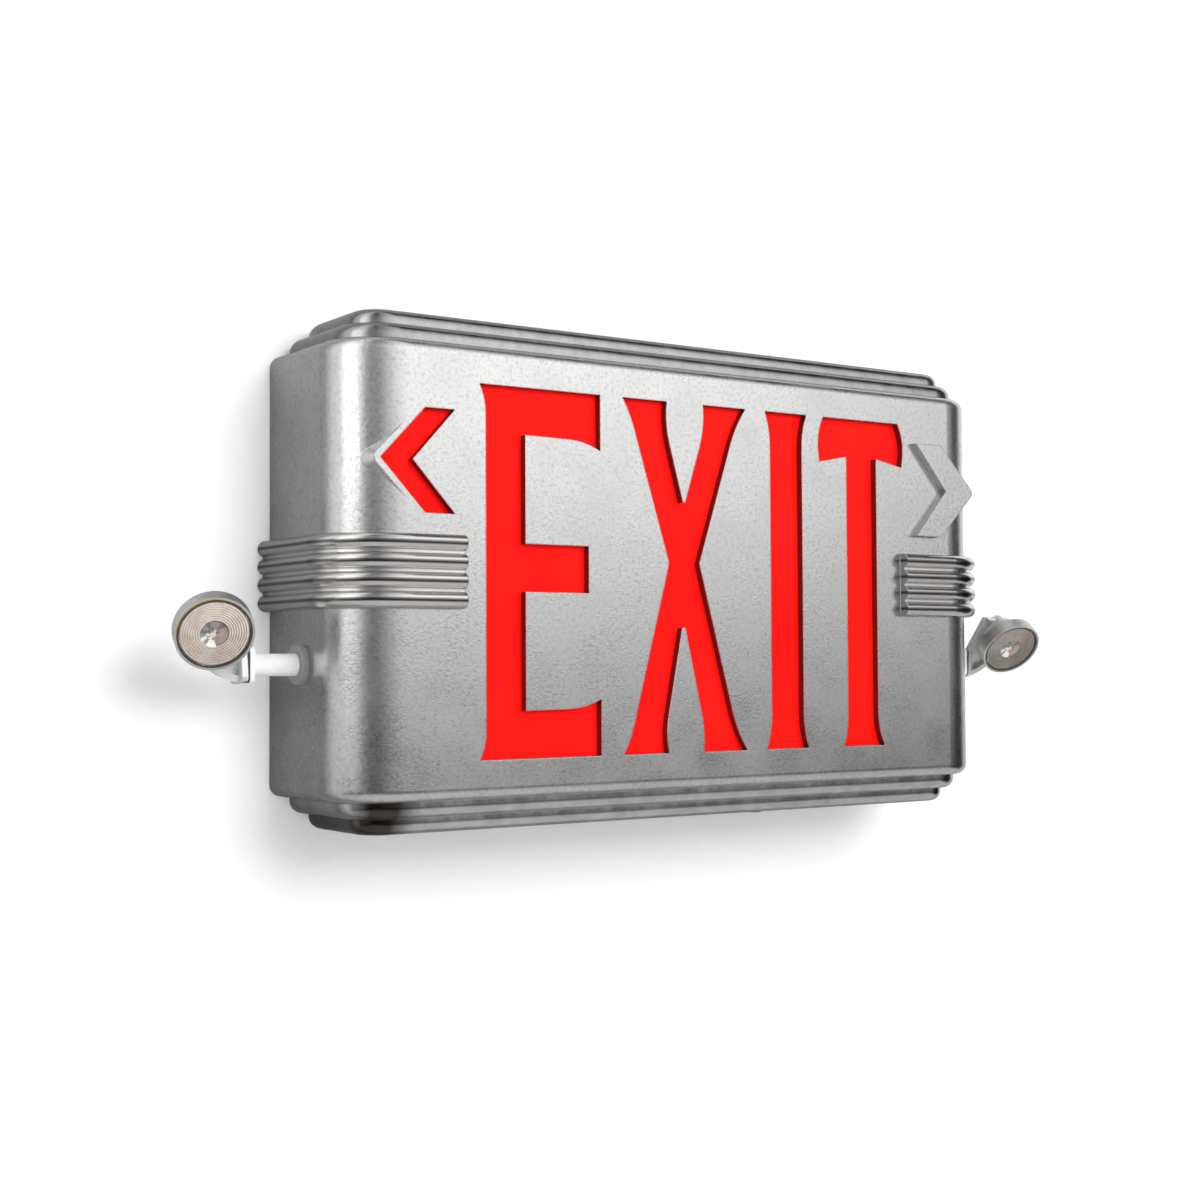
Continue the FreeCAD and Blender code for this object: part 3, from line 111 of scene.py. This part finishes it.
def spread(tree, source, low, high, fromLow=0.0, fromHigh=1.0):  # maps one range to another
    node = tree.nodes.new("ShaderNodeMapRange")
    for key, number in (("From Min", fromLow), ("From Max", fromHigh), ("To Min", low), ("To Max", high)):
        node.inputs[key].default_value = number
    tree.links.new(source, node.inputs["Value"])
    return node.outputs["Result"]


def math2(tree, operation, first, second, clamp=False):
    node = tree.nodes.new("ShaderNodeMath")
    node.operation = operation
    node.use_clamp = clamp
    for socket, source in zip(node.inputs, (first, second)):
        if isinstance(source, (int, float)):
            socket.default_value = source
        else:
            tree.links.new(source, socket)
    return node.outputs["Value"]


def mixColours(tree, amount, first, second, blend="MIX"):
    node = tree.nodes.new("ShaderNodeMix")
    node.data_type = "RGBA"
    node.blend_type = blend
    for socket, source in ((node.inputs[0], amount), (node.inputs[6], first), (node.inputs[7], second)):
        if isinstance(source, (int, float)):
            socket.default_value = source
        elif isinstance(source, tuple):
            socket.default_value = (*source, 1)
        else:
            tree.links.new(source, socket)
    return node.outputs[2]


def bump(tree, height, distance, strength=1.0, under=None):
    node = tree.nodes.new("ShaderNodeBump")
    node.inputs["Strength"].default_value = strength
    node.inputs["Distance"].default_value = distance
    tree.links.new(height, node.inputs["Height"])
    if under is not None:
        tree.links.new(under, node.inputs["Normal"])
    return node.outputs["Normal"]


def axes(tree, coords):
    node = tree.nodes.new("ShaderNodeSeparateXYZ")
    tree.links.new(coords, node.inputs[0])
    return node.outputs


# the roughness goes up and down with the clouds
def roughen(tree, shader, cloud, roughness, less=0.05, more=0.08, fromLow=0.0, fromHigh=1.0):
    patchy = spread(tree, cloud, roughness - less, roughness + more, fromLow, fromHigh)
    tree.links.new(patchy, shader.inputs["Roughness"])


def grey(level):
    return level, level, level


def hullDistance(tree, across, ahead, look):
    # how far a point lies out from the centres of the round front corners
    outward = math2(tree, "SUBTRACT", math2(tree, "ABSOLUTE", across, 0), look["cornerX"])
    forward = math2(tree, "SUBTRACT", math2(tree, "MULTIPLY", ahead, -1), look["cornerY"])
    past = math2(tree, "MAXIMUM", outward, 0)
    front = math2(tree, "MAXIMUM", forward, 0)
    squares = math2(tree, "ADD", math2(tree, "MULTIPLY", past, past), math2(tree, "MULTIPLY", front, front))
    return math2(tree, "SQRT", squares, 0)


castLook = {
    "base": (0.60, 0.60, 0.60), "roughness": (0.23, 0.31), "polish": (0.13, 0.25), "edgeRadius": 0.0006,
    "grain": 0.001, "grainDepth": 0.00004, "smoothGrain": 0.2, "mottle": 0.02, "wornAndSheen": 0.009,
    "tones": ((0.3, (0.575, 0.575, 0.57)), (0.7, (0.63, 0.63, 0.63))),
    "speckle": ((0.32, (0.78, 0.78, 0.77)), (0.5, (0.97, 0.97, 0.97)), (0.66, (1, 1, 1))),
    "wearAndSheen": ((0.35, (0.75, 0.75, 0.75)), (0.65, (1, 1, 1))),
    # the tiers above and below the body: the upper ones darker, partly a darker polish and partly painted
    # shade, the lower ones lighter as painted reflected light, and painted shade across the left corner of
    # the lower ones
    "upperTierToneAndShade": (0.37, 0.365, 0.36), "lowerTierLitTone": (0.60, 0.595, 0.59),
    "tierLevel": 0.0915, "tierEdge": 0.0006,
    "paintedCornerSpan": (-0.178, -0.128),
    "paintedCornerShade": ((0.2, (1, 1, 1)), (0.36, (0.13, 0.12, 0.11)), (0.56, (0.13, 0.12, 0.11)), (0.78, (1, 1, 1))),
    # the rib bands, with painted shade in the grooves between the ribs
    "ribTone": (0.62, 0.61, 0.60), "grooveShade": (0.13, 0.12, 0.115), "ribCrest": (-0.98, -0.7),
    "ribLow": -0.0163, "ribHigh": 0.0153, "ribLeft": -0.124, "ribRight": 0.1159, "ribProud": 0.0008,
    "ribLevel": -0.0005, "ribPitch": 0.0076,
    # the front corners, and the walls of the openings under the skin of the face, whose red-brown tone and
    # lower metal are a painted reflection
    "cornerX": 0.1486, "cornerY": 0.047, "skin": 0.0256,
    "cutHalf": 0.0795, "cutWallReflection": (0.10, 0.022, 0.016), "cutMetal": 0.35,
}


def castPlaces(tree, coords, look):
    # where the tiers, the rib bands and the walls of the openings are
    across, ahead, up = axes(tree, coords)
    level = math2(tree, "ABSOLUTE", up, 0)
    out = hullDistance(tree, across, ahead, look)
    step, edge = look["tierLevel"], look["tierEdge"]
    tiers = spread(tree, level, 0, 1, step - edge, step + edge)
    above = math2(tree, "GREATER_THAN", up, look["ribLow"])
    below = math2(tree, "LESS_THAN", up, look["ribHigh"])
    left = math2(tree, "LESS_THAN", across, look["ribLeft"])
    right = math2(tree, "GREATER_THAN", across, look["ribRight"])
    proud = math2(tree, "GREATER_THAN", out, look["skin"] + look["ribProud"])
    band = math2(tree, "MULTIPLY", math2(tree, "MULTIPLY", above, below), math2(tree, "ADD", left, right))
    ribs = math2(tree, "MULTIPLY", band, proud)
    sunk = math2(tree, "LESS_THAN", out, look["skin"])
    cuts = math2(tree, "MULTIPLY", sunk, math2(tree, "LESS_THAN", level, look["cutHalf"]))
    return tiers, ribs, cuts


def castTone(tree, coords, look, places, mottle, wornAndSheen):
    # bare speckled metal, tiers with painted shade and painted reflected light, polished ribs with painted
    # shade in their grooves, and opening walls with a painted red-brown reflection
    tiers, ribs, cuts = places
    split = axes(tree, coords)
    pits = noise(tree, coords, look["grain"] * 1.7, 3, 0.65)
    speckle = ramp(tree, pits, look["speckle"])
    plain = mixColours(tree, 1.0, ramp(tree, mottle, look["tones"]), speckle, "MULTIPLY")

    # the upper tiers darker than the lower ones: painted shade above, painted reflected light below
    upper = math2(tree, "GREATER_THAN", split["Z"], 0)
    # painted shade across the left corner of the lower tiers
    paintedCornerShade = ramp(tree, spread(tree, split["X"], 0, 1, *look["paintedCornerSpan"]), look["paintedCornerShade"])
    stepped = mixColours(tree, upper, look["lowerTierLitTone"], look["upperTierToneAndShade"])
    stepped = mixColours(tree, 1.0, stepped, mixColours(tree, upper, paintedCornerShade, grey(1.0)), "MULTIPLY")
    stepped = mixColours(tree, 1.0, stepped, ramp(tree, wornAndSheen, look["wearAndSheen"]), "MULTIPLY")

    # painted shade in the grooves between the ribs, lighter on their crests
    rise = math2(tree, "SUBTRACT", split["Z"], look["ribLevel"])
    wave = math2(tree, "COSINE", math2(tree, "MULTIPLY", rise, 2 * math.pi / look["ribPitch"]), 0)
    crest = spread(tree, wave, 0, 1, *look["ribCrest"])
    shadedRibs = mixColours(tree, crest, look["grooveShade"], look["ribTone"])

    tone = mixColours(tree, tiers, plain, stepped)
    tone = mixColours(tree, ribs, tone, shadedRibs)
    # the opening walls take a painted red-brown reflection
    return mixColours(tree, cuts, tone, look["cutWallReflection"])


def castMetal(look):
    material, tree, shader, coords = startMaterial("castMetal", look["base"], 1.0, look["roughness"][0])
    places = castPlaces(tree, coords, look)
    tiers, ribs, cuts = places
    smooth = math2(tree, "MAXIMUM", tiers, ribs, True)
    mottle = noise(tree, coords, look["mottle"], 3, 0.5)
    wornAndSheen = noise(tree, coords, look["wornAndSheen"], 5, 0.65)
    tree.links.new(castTone(tree, coords, look, places, mottle, wornAndSheen), shader.inputs["Base Color"])
    # less metal on the opening walls, so that their painted reflection shows
    tree.links.new(spread(tree, cuts, 1.0, look["cutMetal"]), shader.inputs["Metallic"])

    rough = spread(tree, mottle, *look["roughness"], 0.3, 0.7)
    polished = spread(tree, wornAndSheen, *look["polish"], 0.3, 0.7)
    mix = tree.nodes.new("ShaderNodeMix")
    tree.links.new(smooth, mix.inputs[0])
    tree.links.new(rough, mix.inputs[2])
    tree.links.new(polished, mix.inputs[3])
    tree.links.new(mix.outputs[0], shader.inputs["Roughness"])

    soft = tree.nodes.new("ShaderNodeBevel")
    soft.samples = 4
    soft.inputs["Radius"].default_value = look["edgeRadius"]
    fine = noise(tree, coords, look["grain"], 2, 0.55)
    grain = math2(tree, "MULTIPLY", fine, spread(tree, smooth, 1.0, look["smoothGrain"]))
    grained = bump(tree, grain, look["grainDepth"], 1.0, soft.outputs["Normal"])
    tree.links.new(grained, shader.inputs["Normal"])
    return material


redLook = {"low": (0.80, 0.004, 0.003), "high": (0.87, 0.008, 0.005), "glow": 0.36, "sheen": 0.08,
           "roughness": 0.42}


def redPanel(look):
    # lit from behind, so it glows a little by itself
    material, tree, shader, coords = startMaterial("redPanel", look["high"], 0.0, look["roughness"])
    cloud = noise(tree, coords, 0.05, 3, 0.5)
    tone = ramp(tree, cloud, ((0.3, look["low"]), (0.7, look["high"])))
    tree.links.new(tone, shader.inputs["Base Color"])
    tree.links.new(tone, shader.inputs["Emission Color"])
    shader.inputs["Emission Strength"].default_value = look["glow"]
    shader.inputs["Specular IOR Level"].default_value = look["sheen"]
    roughen(tree, shader, noise(tree, coords, 0.012, 4, 0.6), look["roughness"])
    tree.links.new(bump(tree, noise(tree, coords, 0.004), 0.00003), shader.inputs["Normal"])
    return material


# base colour, metallic, roughness, size of the clouds, how much they change, depth of the bumps
def plainFinish(title, base, metallic, roughness, size, change=0.12, depth=0.00003):
    material, tree, shader, coords = startMaterial(title, base, metallic, roughness)
    cloud = noise(tree, coords, size, 4, 0.6)
    darker = tuple(part * (1 - change) for part in base)
    lighter = tuple(min(1, part * (1 + change)) for part in base)
    tree.links.new(ramp(tree, cloud, ((0.3, darker), (0.7, lighter))), shader.inputs["Base Color"])
    roughen(tree, shader, cloud, roughness, 0.05, 0.08, 0.3, 0.7)
    tree.links.new(bump(tree, cloud, depth), shader.inputs["Normal"])
    return material


def clearFinish(title, tint, size, clearness=1.0, roughness=0.04, patch=None):
    material, tree, shader, coords = startMaterial(title, tint, 0.0, roughness)
    shader.inputs["Transmission Weight"].default_value = clearness
    shader.inputs["IOR"].default_value = 1.49
    cloud = noise(tree, coords, size, 3, 0.5)
    roughen(tree, shader, cloud, roughness, 0.02, 0.05, 0.3, 0.7)
    tone = ramp(tree, cloud, ((0.38, patch or tuple(part * 0.9 for part in tint)), (0.6, tint)))
    tree.links.new(tone, shader.inputs["Base Color"])
    return material


armLook = {"paint": (0.88, 0.88, 0.88), "bare": (0.30, 0.30, 0.30), "seam": 0.1772, "roughness": 0.4}


def armPaint(look):
    # white arm whose collar is left bare against the cover
    material, tree, shader, coords = startMaterial("armPaint", look["paint"], 0.0, look["roughness"])
    reach = math2(tree, "ABSOLUTE", axes(tree, coords)["X"], 0)
    painted = math2(tree, "GREATER_THAN", reach, look["seam"])
    cloud = noise(tree, coords, 0.004)
    scuffed = ramp(tree, cloud, ((0.3, (0.94, 0.94, 0.93)), (0.6, (1, 1, 1))))
    tone = mixColours(tree, 1.0, mixColours(tree, painted, look["bare"], look["paint"]), scuffed, "MULTIPLY")
    tree.links.new(tone, shader.inputs["Base Color"])
    roughen(tree, shader, cloud, look["roughness"])
    tree.links.new(bump(tree, cloud, 0.00003), shader.inputs["Normal"])
    return material


trimLook = {"nickel": (0.60, 0.60, 0.58), "brass": (0.62, 0.40, 0.10), "roughness": 0.25,
            "centre": (-0.2202, -0.0255), "start": 0.0075, "end": 0.0105}


def trimRing(look):
    # brass ring painted nickel grey round most of it and brass only along the upper left of the left lamp,
    # as painted reflection
    material, tree, shader, coords = startMaterial("trimRing", look["nickel"], 1.0, look["roughness"])
    split = axes(tree, coords)
    out = math2(tree, "SUBTRACT", look["centre"][0], split["X"])
    rise = math2(tree, "SUBTRACT", split["Z"], look["centre"][1])
    slope = math2(tree, "MULTIPLY", math2(tree, "ADD", out, rise), math.sqrt(0.5))
    # where the painted nickel reflection gives way to brass
    wearAndSheen = math2(tree, "ADD", slope, spread(tree, noise(tree, coords, 0.004), -0.001, 0.001))
    wornAndSheen = spread(tree, wearAndSheen, 0, 1, look["start"], look["end"])
    tree.links.new(mixColours(tree, wornAndSheen, look["nickel"], look["brass"]), shader.inputs["Base Color"])
    roughen(tree, shader, noise(tree, coords, 0.002), look["roughness"], 0.05, 0.06)
    tree.links.new(bump(tree, noise(tree, coords, 0.0012), 0.00001), shader.inputs["Normal"])
    return material


finishes = {
    "cast_metal": castMetal(castLook),
    "red_acrylic": redPanel(redLook),
    "white_sheet": plainFinish("whiteSheet", (0.86, 0.86, 0.84), 0.0, 0.45, 0.006, 0.03),
    "zinc_steel": plainFinish("zincSteel", (0.62, 0.63, 0.65), 1.0, 0.34, 0.004),
    "green_board": plainFinish("greenBoard", (0.03, 0.16, 0.07), 0.0, 0.35, 0.003),
    "white_board": plainFinish("whiteBoard", (0.82, 0.82, 0.78), 0.0, 0.4, 0.003, 0.05),
    "core_steel": plainFinish("coreSteel", (0.09, 0.08, 0.07), 0.6, 0.5, 0.002, 0.2),
    "sleeve_film": plainFinish("sleeveFilm", (0.03, 0.07, 0.3), 0.0, 0.3, 0.01),
    "black_moulding": plainFinish("blackMoulding", (0.012, 0.012, 0.013), 0.0, 0.45, 0.002),
    "red_button": plainFinish("redButton", (0.5, 0.012, 0.01), 0.0, 0.35, 0.003),
    "spring_steel": plainFinish("springSteel", (0.5, 0.5, 0.52), 1.0, 0.3, 0.001),
    "green_lens": plainFinish("greenLens", (0.02, 0.45, 0.08), 0.0, 0.15, 0.003),
    "nickel": plainFinish("nickelShell", (0.64, 0.645, 0.64), 1.0, 0.34, 0.004, 0.08),
    "arm_paint": armPaint(armLook),
    "brass_nut": plainFinish("brassNut", (0.6, 0.42, 0.14), 1.0, 0.35, 0.003),
    "black_rubber": plainFinish("blackRubber", (0.05, 0.05, 0.05), 0.0, 0.6, 0.001),
    "brass_trim": trimRing(trimLook),
    "clear_lens": clearFinish("clearLens", (0.96, 0.93, 0.89), 0.006),
    "bright_dish": plainFinish("brightDish", (0.86, 0.82, 0.76), 1.0, 0.16, 0.004, 0.05),
    "clear_optic": clearFinish("clearOptic", (0.97, 0.97, 0.98), 0.003),
    "grey_sleeving": plainFinish("greySleeving", (0.6, 0.6, 0.57), 0.0, 0.5, 0.003),
}
print("finishes made:", len(finishes))

lens = {"radius": 0.0138, "thickness": 0.0018, "flank": 0.0005, "centre": 0.0056, "middle": 0.0012,
        "rings": 8, "depth": 0.0003, "groove": 0.34, "sides": 96, "smooth": 12}
headTurns = {"left": (27.8, -11.3), "right": (41.0, -9.7)}  # tilt, then pan toward the left
# the right lens painted darker than the left, as painted shade on the same lens
lensTones = {
    "left": {"land": (0.82, 0.76, 0.66), "patch": (0.78, 0.62, 0.54), "groove": (0.40, 0.34, 0.29)},
    "right": {"land": (0.40, 0.37, 0.34), "patch": (0.37, 0.31, 0.28), "groove": (0.22, 0.20, 0.18)},
}


def clearSelection():
    if bpy.context.object and bpy.context.object.mode != "OBJECT":
        bpy.ops.object.mode_set(mode="OBJECT")
    bpy.ops.object.select_all(action="DESELECT")


def pickFaces(thing, wanted):
    mesh = bmesh.from_edit_mesh(thing.data)
    mesh.faces.ensure_lookup_table()
    for face in mesh.faces:
        face.select_set(bool(wanted(face)))
    mesh.select_flush_mode()
    bmesh.update_edit_mesh(thing.data)


def aimAtLamp(thing, side, centre):
    tilt, pan = headTurns[side]
    thing.rotation_euler = (Matrix.Rotation(math.radians(tilt), 3, "X")
                            @ Matrix.Rotation(math.radians(pan), 3, "Z")
                            @ Matrix.Rotation(math.radians(90), 3, "X")).to_euler()
    thing.location = centre
    clearSelection()
    thing.select_set(True)
    bpy.context.view_layer.objects.active = thing
    bpy.ops.object.transform_apply(location=True, rotation=True, scale=True)


def ringedLens(want, title):
    # a disc with a clear middle and a step cut between each two rings
    clearSelection()
    bpy.ops.mesh.primitive_cylinder_add(vertices=want["sides"], radius=want["radius"],
                                        depth=want["thickness"], end_fill_type="NGON", location=(0, 0, 0))
    pane = bpy.context.object
    pane.name = title
    bpy.ops.object.mode_set(mode="EDIT")
    bpy.ops.mesh.select_mode(type="FACE")
    pickFaces(pane, lambda face: face.normal.z > 0.9)
    bpy.ops.mesh.inset(thickness=want["flank"], depth=0)
    pitch = (want["radius"] - want["flank"] - want["centre"]) / want["rings"]
    for _ in range(want["rings"]):
        bpy.ops.mesh.inset(thickness=pitch * want["groove"], depth=-want["depth"])
        bpy.ops.mesh.inset(thickness=pitch * (1 - want["groove"]), depth=want["depth"])
    bpy.ops.mesh.inset(thickness=want["middle"], depth=0)
    bpy.ops.object.mode_set(mode="OBJECT")
    slope = math.atan(want["depth"] / (pitch * want["groove"]))
    for face in pane.data.polygons:  # 0 clear middle, 1 land, 2 groove
        reach = face.center.to_2d().length
        ringed = face.normal.z > 0.05 and want["centre"] < reach < want["radius"] - want["flank"]
        steep = face.normal.z < math.cos(slope) + 0.02
        # the steep groove faces take a darker finish, as painted shade in the rings
        face.material_index = 0 if not ringed else 2 if steep else 1
    return pane


def placeLenses():
    for side in ("left", "right"):
        low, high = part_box(f"{side}_lamp_lens")
        pane = ringedLens(lens, f"{side}RingedLens")
        aimAtLamp(pane, side, (low + high) / 2)
        bpy.ops.object.shade_smooth_by_angle(angle=math.radians(lens["smooth"]))
        tones = lensTones[side]
        land = clearFinish(f"{side}LensLand", tones["land"], 0.0035, 0.2, 0.2, tones["patch"])
        # darker finish of the groove faces, painted shade
        groove = clearFinish(f"{side}LensGrooveShade", tones["groove"], 0.005, 0.2, 0.25)
        for finish in (finishes["clear_lens"], land, groove):
            pane.data.materials.append(finish)
        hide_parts(f"{side}_lamp_lens")
        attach(pane, f"{side}_head")


placeLenses()
print("lenses placed")

optic = {"mouth": 0.0058, "foot": 0.0021, "height": 0.0057, "facets": 16,
         "steps": ((0.0017, -0.0006), (0.0015, -0.0004), (0.0014, 0.0006)),  # width and depth, inward
         "inner": 0.003, "core": 0.0012}
# the facet tones and their glow are painted light: highlights, shade, a warm reflection and a glowing core
opticPaintedLight = {"dark": (0.30, 0.30, 0.32), "mid": (0.52, 0.51, 0.53), "bright": (0.90, 0.95, 1.0),
              "warm": (0.62, 0.40, 0.36), "core": (0.85, 0.78, 0.66)}
opticPaintedGlow = {"dark": 0.1, "mid": 0.15, "bright": 0.5, "warm": 0.2, "core": 0.4}
# painted highlight, shade and warm reflection of each facet, from the right, up and round
facetLightPlan = "mid warm dark mid mid dark mid dark mid bright mid bright bright warm mid warm".split()


def facetedOptic(want, title):
    # a cone that widens toward the lens, its mouth cut into rings of facets
    clearSelection()
    bpy.ops.mesh.primitive_cone_add(vertices=want["facets"], radius1=want["foot"], radius2=want["mouth"],
                                    depth=want["height"], location=(0, 0, 0))
    piece = bpy.context.object
    piece.name = title
    bpy.ops.object.mode_set(mode="EDIT")
    bpy.ops.mesh.select_mode(type="FACE")
    pickFaces(piece, lambda face: face.normal.z > 0.9)
    for thickness, depth in want["steps"]:
        bpy.ops.mesh.inset(thickness=thickness, depth=depth)
    bpy.ops.object.mode_set(mode="OBJECT")
    # each facet gets a tone of painted light: highlight, shade and warm reflection
    order = list(opticPaintedLight)
    for face in piece.data.polygons:  # one tone for each facet, the next ring a step further round
        reach = face.center.to_2d().length
        turn = math.degrees(math.atan2(face.center.y, face.center.x)) % 360
        step = int(turn // (360 / want["facets"])) + (1 if reach < want["inner"] else 0)
        tone = "core" if reach < want["core"] else facetLightPlan[step % want["facets"]]
        face.material_index = order.index(tone)
    return piece


def placeOptics():
    cuts = [plainFinish(f"{name}Facet", tone, 0.2, 0.2, 0.002, 0.1) for name, tone in opticPaintedLight.items()]
    # the facets glow a little, as painted light through the clear optic
    for cut, (name, tone) in zip(cuts, opticPaintedLight.items()):
        shader = cut.node_tree.nodes["Principled BSDF"]
        shader.inputs["Emission Color"].default_value = (*tone, 1)
        shader.inputs["Emission Strength"].default_value = opticPaintedGlow[name]
    for side in ("left", "right"):
        low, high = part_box(f"{side}_lamp_optic")
        piece = facetedOptic(optic, f"{side}FacetedOptic")
        aimAtLamp(piece, side, (low + high) / 2)
        for cut in cuts:
            piece.data.materials.append(cut)
        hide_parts(f"{side}_lamp_optic")
        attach(piece, f"{side}_head")


placeOptics()
print("optics placed")

bracketFinish = plainFinish("bracketSatin", (0.80, 0.81, 0.79), 0.55, 0.42, 0.005, 0.08)
for part in frame["record"]["subparts"]:
    node = nodes[part["node"]]
    node.data.materials.clear()
    finish = bracketFinish if part["node"].endswith("_bracket") else finishes[part["material_slot"]]
    node.data.materials.append(finish)

studio = {"wallGap": 0.0006, "wallWidth": 3.2, "wallHeight": 2.6, "margin": 0.4, "opening": (0.325, 0.165),
          "floorDrop": 1.0, "floorSize": 4, "paper": grey(0.86), "glow": 0.14}
# how bright the paper looks in the metal, by how far out the place lies and then by how low it is
paperShades = {
    "wall": {"axis": "X", "low": 0.6,
             "stops": ((0.17, 0.42), (0.195, 0.42), (0.215, 0.24), (0.245, 0.5), (0.31, 0.9), (0.6, 0.9))},
    "floor": {"axis": "Y", "low": 1.0, "stops": ((0.0, 0.6), (1.7, 0.6), (2.6, 0.1), (4.0, 0.06))},
}
lowSpan = (-0.12, 0.04)
lamps = {
    "keyPanel": {"place": (0.20, -1.5, 0.62), "aim": (0.0, 0.0, 0.0), "size": (1.0, 0.85), "power": 16},
}


def paperFinish(title, want):
    # white for the camera, shaded where it shows in the metal, and clear when looked at from behind
    material, tree, shader, coords = startMaterial(f"{title}Paper", want["paper"], 0.0, 0.9)
    grain = bump(tree, noise(tree, coords, 0.003), 0.0001)
    tree.links.new(grain, shader.inputs["Normal"])
    path = tree.nodes.new("ShaderNodeLightPath")
    look = paperShades[title]
    split = axes(tree, coords)
    reach = math2(tree, "ABSOLUTE", split[look["axis"]], 0)
    far = look["stops"][-1][0]
    outward = ramp(tree, spread(tree, reach, 0, 1, 0, far),
                   [(place / far, grey(level)) for place, level in look["stops"]])
    rising = ramp(tree, spread(tree, split["Z"], 0, 1, *lowSpan), ((0, grey(look["low"])), (1, grey(1))))
    shade = mixColours(tree, 1.0, outward, rising, "MULTIPLY")
    paper = mixColours(tree, path.outputs["Is Glossy Ray"], want["paper"], shade)
    tree.links.new(paper, shader.inputs["Base Color"])
    glow = tree.nodes.new("ShaderNodeEmission")
    glow.inputs["Color"].default_value = (1, 1, 1, 1)
    strength = math2(tree, "MULTIPLY", path.outputs["Is Camera Ray"], want["glow"])
    tree.links.new(strength, glow.inputs["Strength"])
    both = tree.nodes.new("ShaderNodeAddShader")
    tree.links.new(shader.outputs[0], both.inputs[0])
    tree.links.new(glow.outputs[0], both.inputs[1])
    behind = tree.nodes.new("ShaderNodeNewGeometry")
    gone = tree.nodes.new("ShaderNodeBsdfTransparent")
    pick = tree.nodes.new("ShaderNodeMixShader")
    tree.links.new(behind.outputs["Backfacing"], pick.inputs[0])
    tree.links.new(both.outputs[0], pick.inputs[1])
    tree.links.new(gone.outputs[0], pick.inputs[2])
    tree.links.new(pick.outputs[0], tree.nodes["Material Output"].inputs["Surface"])
    return material


def addBackdrop(want):
    clearSelection()
    bpy.ops.mesh.primitive_plane_add(size=1, location=(0, want["wallGap"], 0),
                                     rotation=(math.radians(90), 0, 0))
    wall = bpy.context.object
    wall.name = "paleWall"
    wall.scale = (want["wallWidth"], want["wallHeight"], 1)
    bpy.ops.object.transform_apply(location=True, rotation=True, scale=True)
    wall.data.materials.append(paperFinish("wall", want))
    # an opening hidden behind the cover, so that its back has light when seen from behind
    bpy.ops.object.mode_set(mode="EDIT")
    bpy.ops.mesh.select_all(action="SELECT")
    bpy.ops.mesh.inset(thickness=want["margin"], depth=0)
    across, tall = want["wallWidth"] - 2 * want["margin"], want["wallHeight"] - 2 * want["margin"]
    bpy.ops.transform.resize(value=(want["opening"][0] / across, 1, want["opening"][1] / tall))
    bpy.ops.mesh.delete(type="FACE")
    bpy.ops.object.mode_set(mode="OBJECT")
    clearSelection()
    place = (0, want["wallGap"] - want["floorSize"] / 2, -want["floorDrop"])
    bpy.ops.mesh.primitive_plane_add(size=want["floorSize"], location=place)
    floor = bpy.context.object
    floor.name = "paleFloor"
    bpy.ops.object.transform_apply(location=True, rotation=True, scale=True)
    floor.data.materials.append(paperFinish("floor", want))


def addLamp(title, want):
    light = bpy.data.lights.new(title, "AREA")
    light.shape = "RECTANGLE"
    light.size, light.size_y = want["size"]
    light.energy = want["power"]
    thing = bpy.data.objects.new(title, light)
    thing.location = want["place"]
    thing.rotation_euler = (Vector(want["aim"]) - Vector(want["place"])).to_track_quat("-Z", "Y").to_euler()
    thing.visible_camera = False
    thing.visible_glossy = False
    bpy.context.scene.collection.objects.link(thing)


# brightness of the room by bearing, in degrees from straight ahead toward the right, and by height
room = {
    "bearings": ((-180, 0.8), (-98, 2.0), (-66, 1.6), (-54, 0.7), (-46, 0.32), (-28, 0.3), (-14, 0.6),
                 (4, 1.0), (20, 1.25), (32, 1.38), (42, 1.15), (50, 0.68), (59, 0.06), (86, 0.06),
                 (98, 0.9), (180, 0.8)),
    "heights": ((-1.0, 0.3), (-0.24, 0.16), (-0.10, 0.1), (-0.01, 0.24), (0.06, 1.15), (0.15, 1.48),
                (0.45, 1.3), (1.0, 0.6)),
}


def addWorld(want):
    world = bpy.data.worlds.new("studioWorld")
    bpy.context.scene.world = world
    world.use_nodes = True
    tree = world.node_tree
    sky = tree.nodes["Background"]
    coords = tree.nodes.new("ShaderNodeTexCoord")
    split = axes(tree, coords.outputs["Generated"])
    bearing = math2(tree, "ARCTAN2", split["X"], math2(tree, "MULTIPLY", split["Y"], -1))
    around = ramp(tree, spread(tree, bearing, 0, 1, -math.pi, math.pi),
                  [((angle + 180) / 360, grey(level)) for angle, level in want["bearings"]])
    upward = ramp(tree, spread(tree, split["Z"], 0, 1, -1, 1),
                  [((height + 1) / 2, grey(level)) for height, level in want["heights"]])
    band = mixColours(tree, 1.0, around, upward, "MULTIPLY")
    path = tree.nodes.new("ShaderNodeLightPath")
    white = mixColours(tree, path.outputs["Is Camera Ray"], band, (1.0, 1.0, 1.0))
    tree.links.new(white, sky.inputs["Color"])
    sky.inputs["Strength"].default_value = 1.0


addBackdrop(studio)
for title, want in lamps.items():
    addLamp(title, want)
addWorld(room)
print("stage and lamps set")
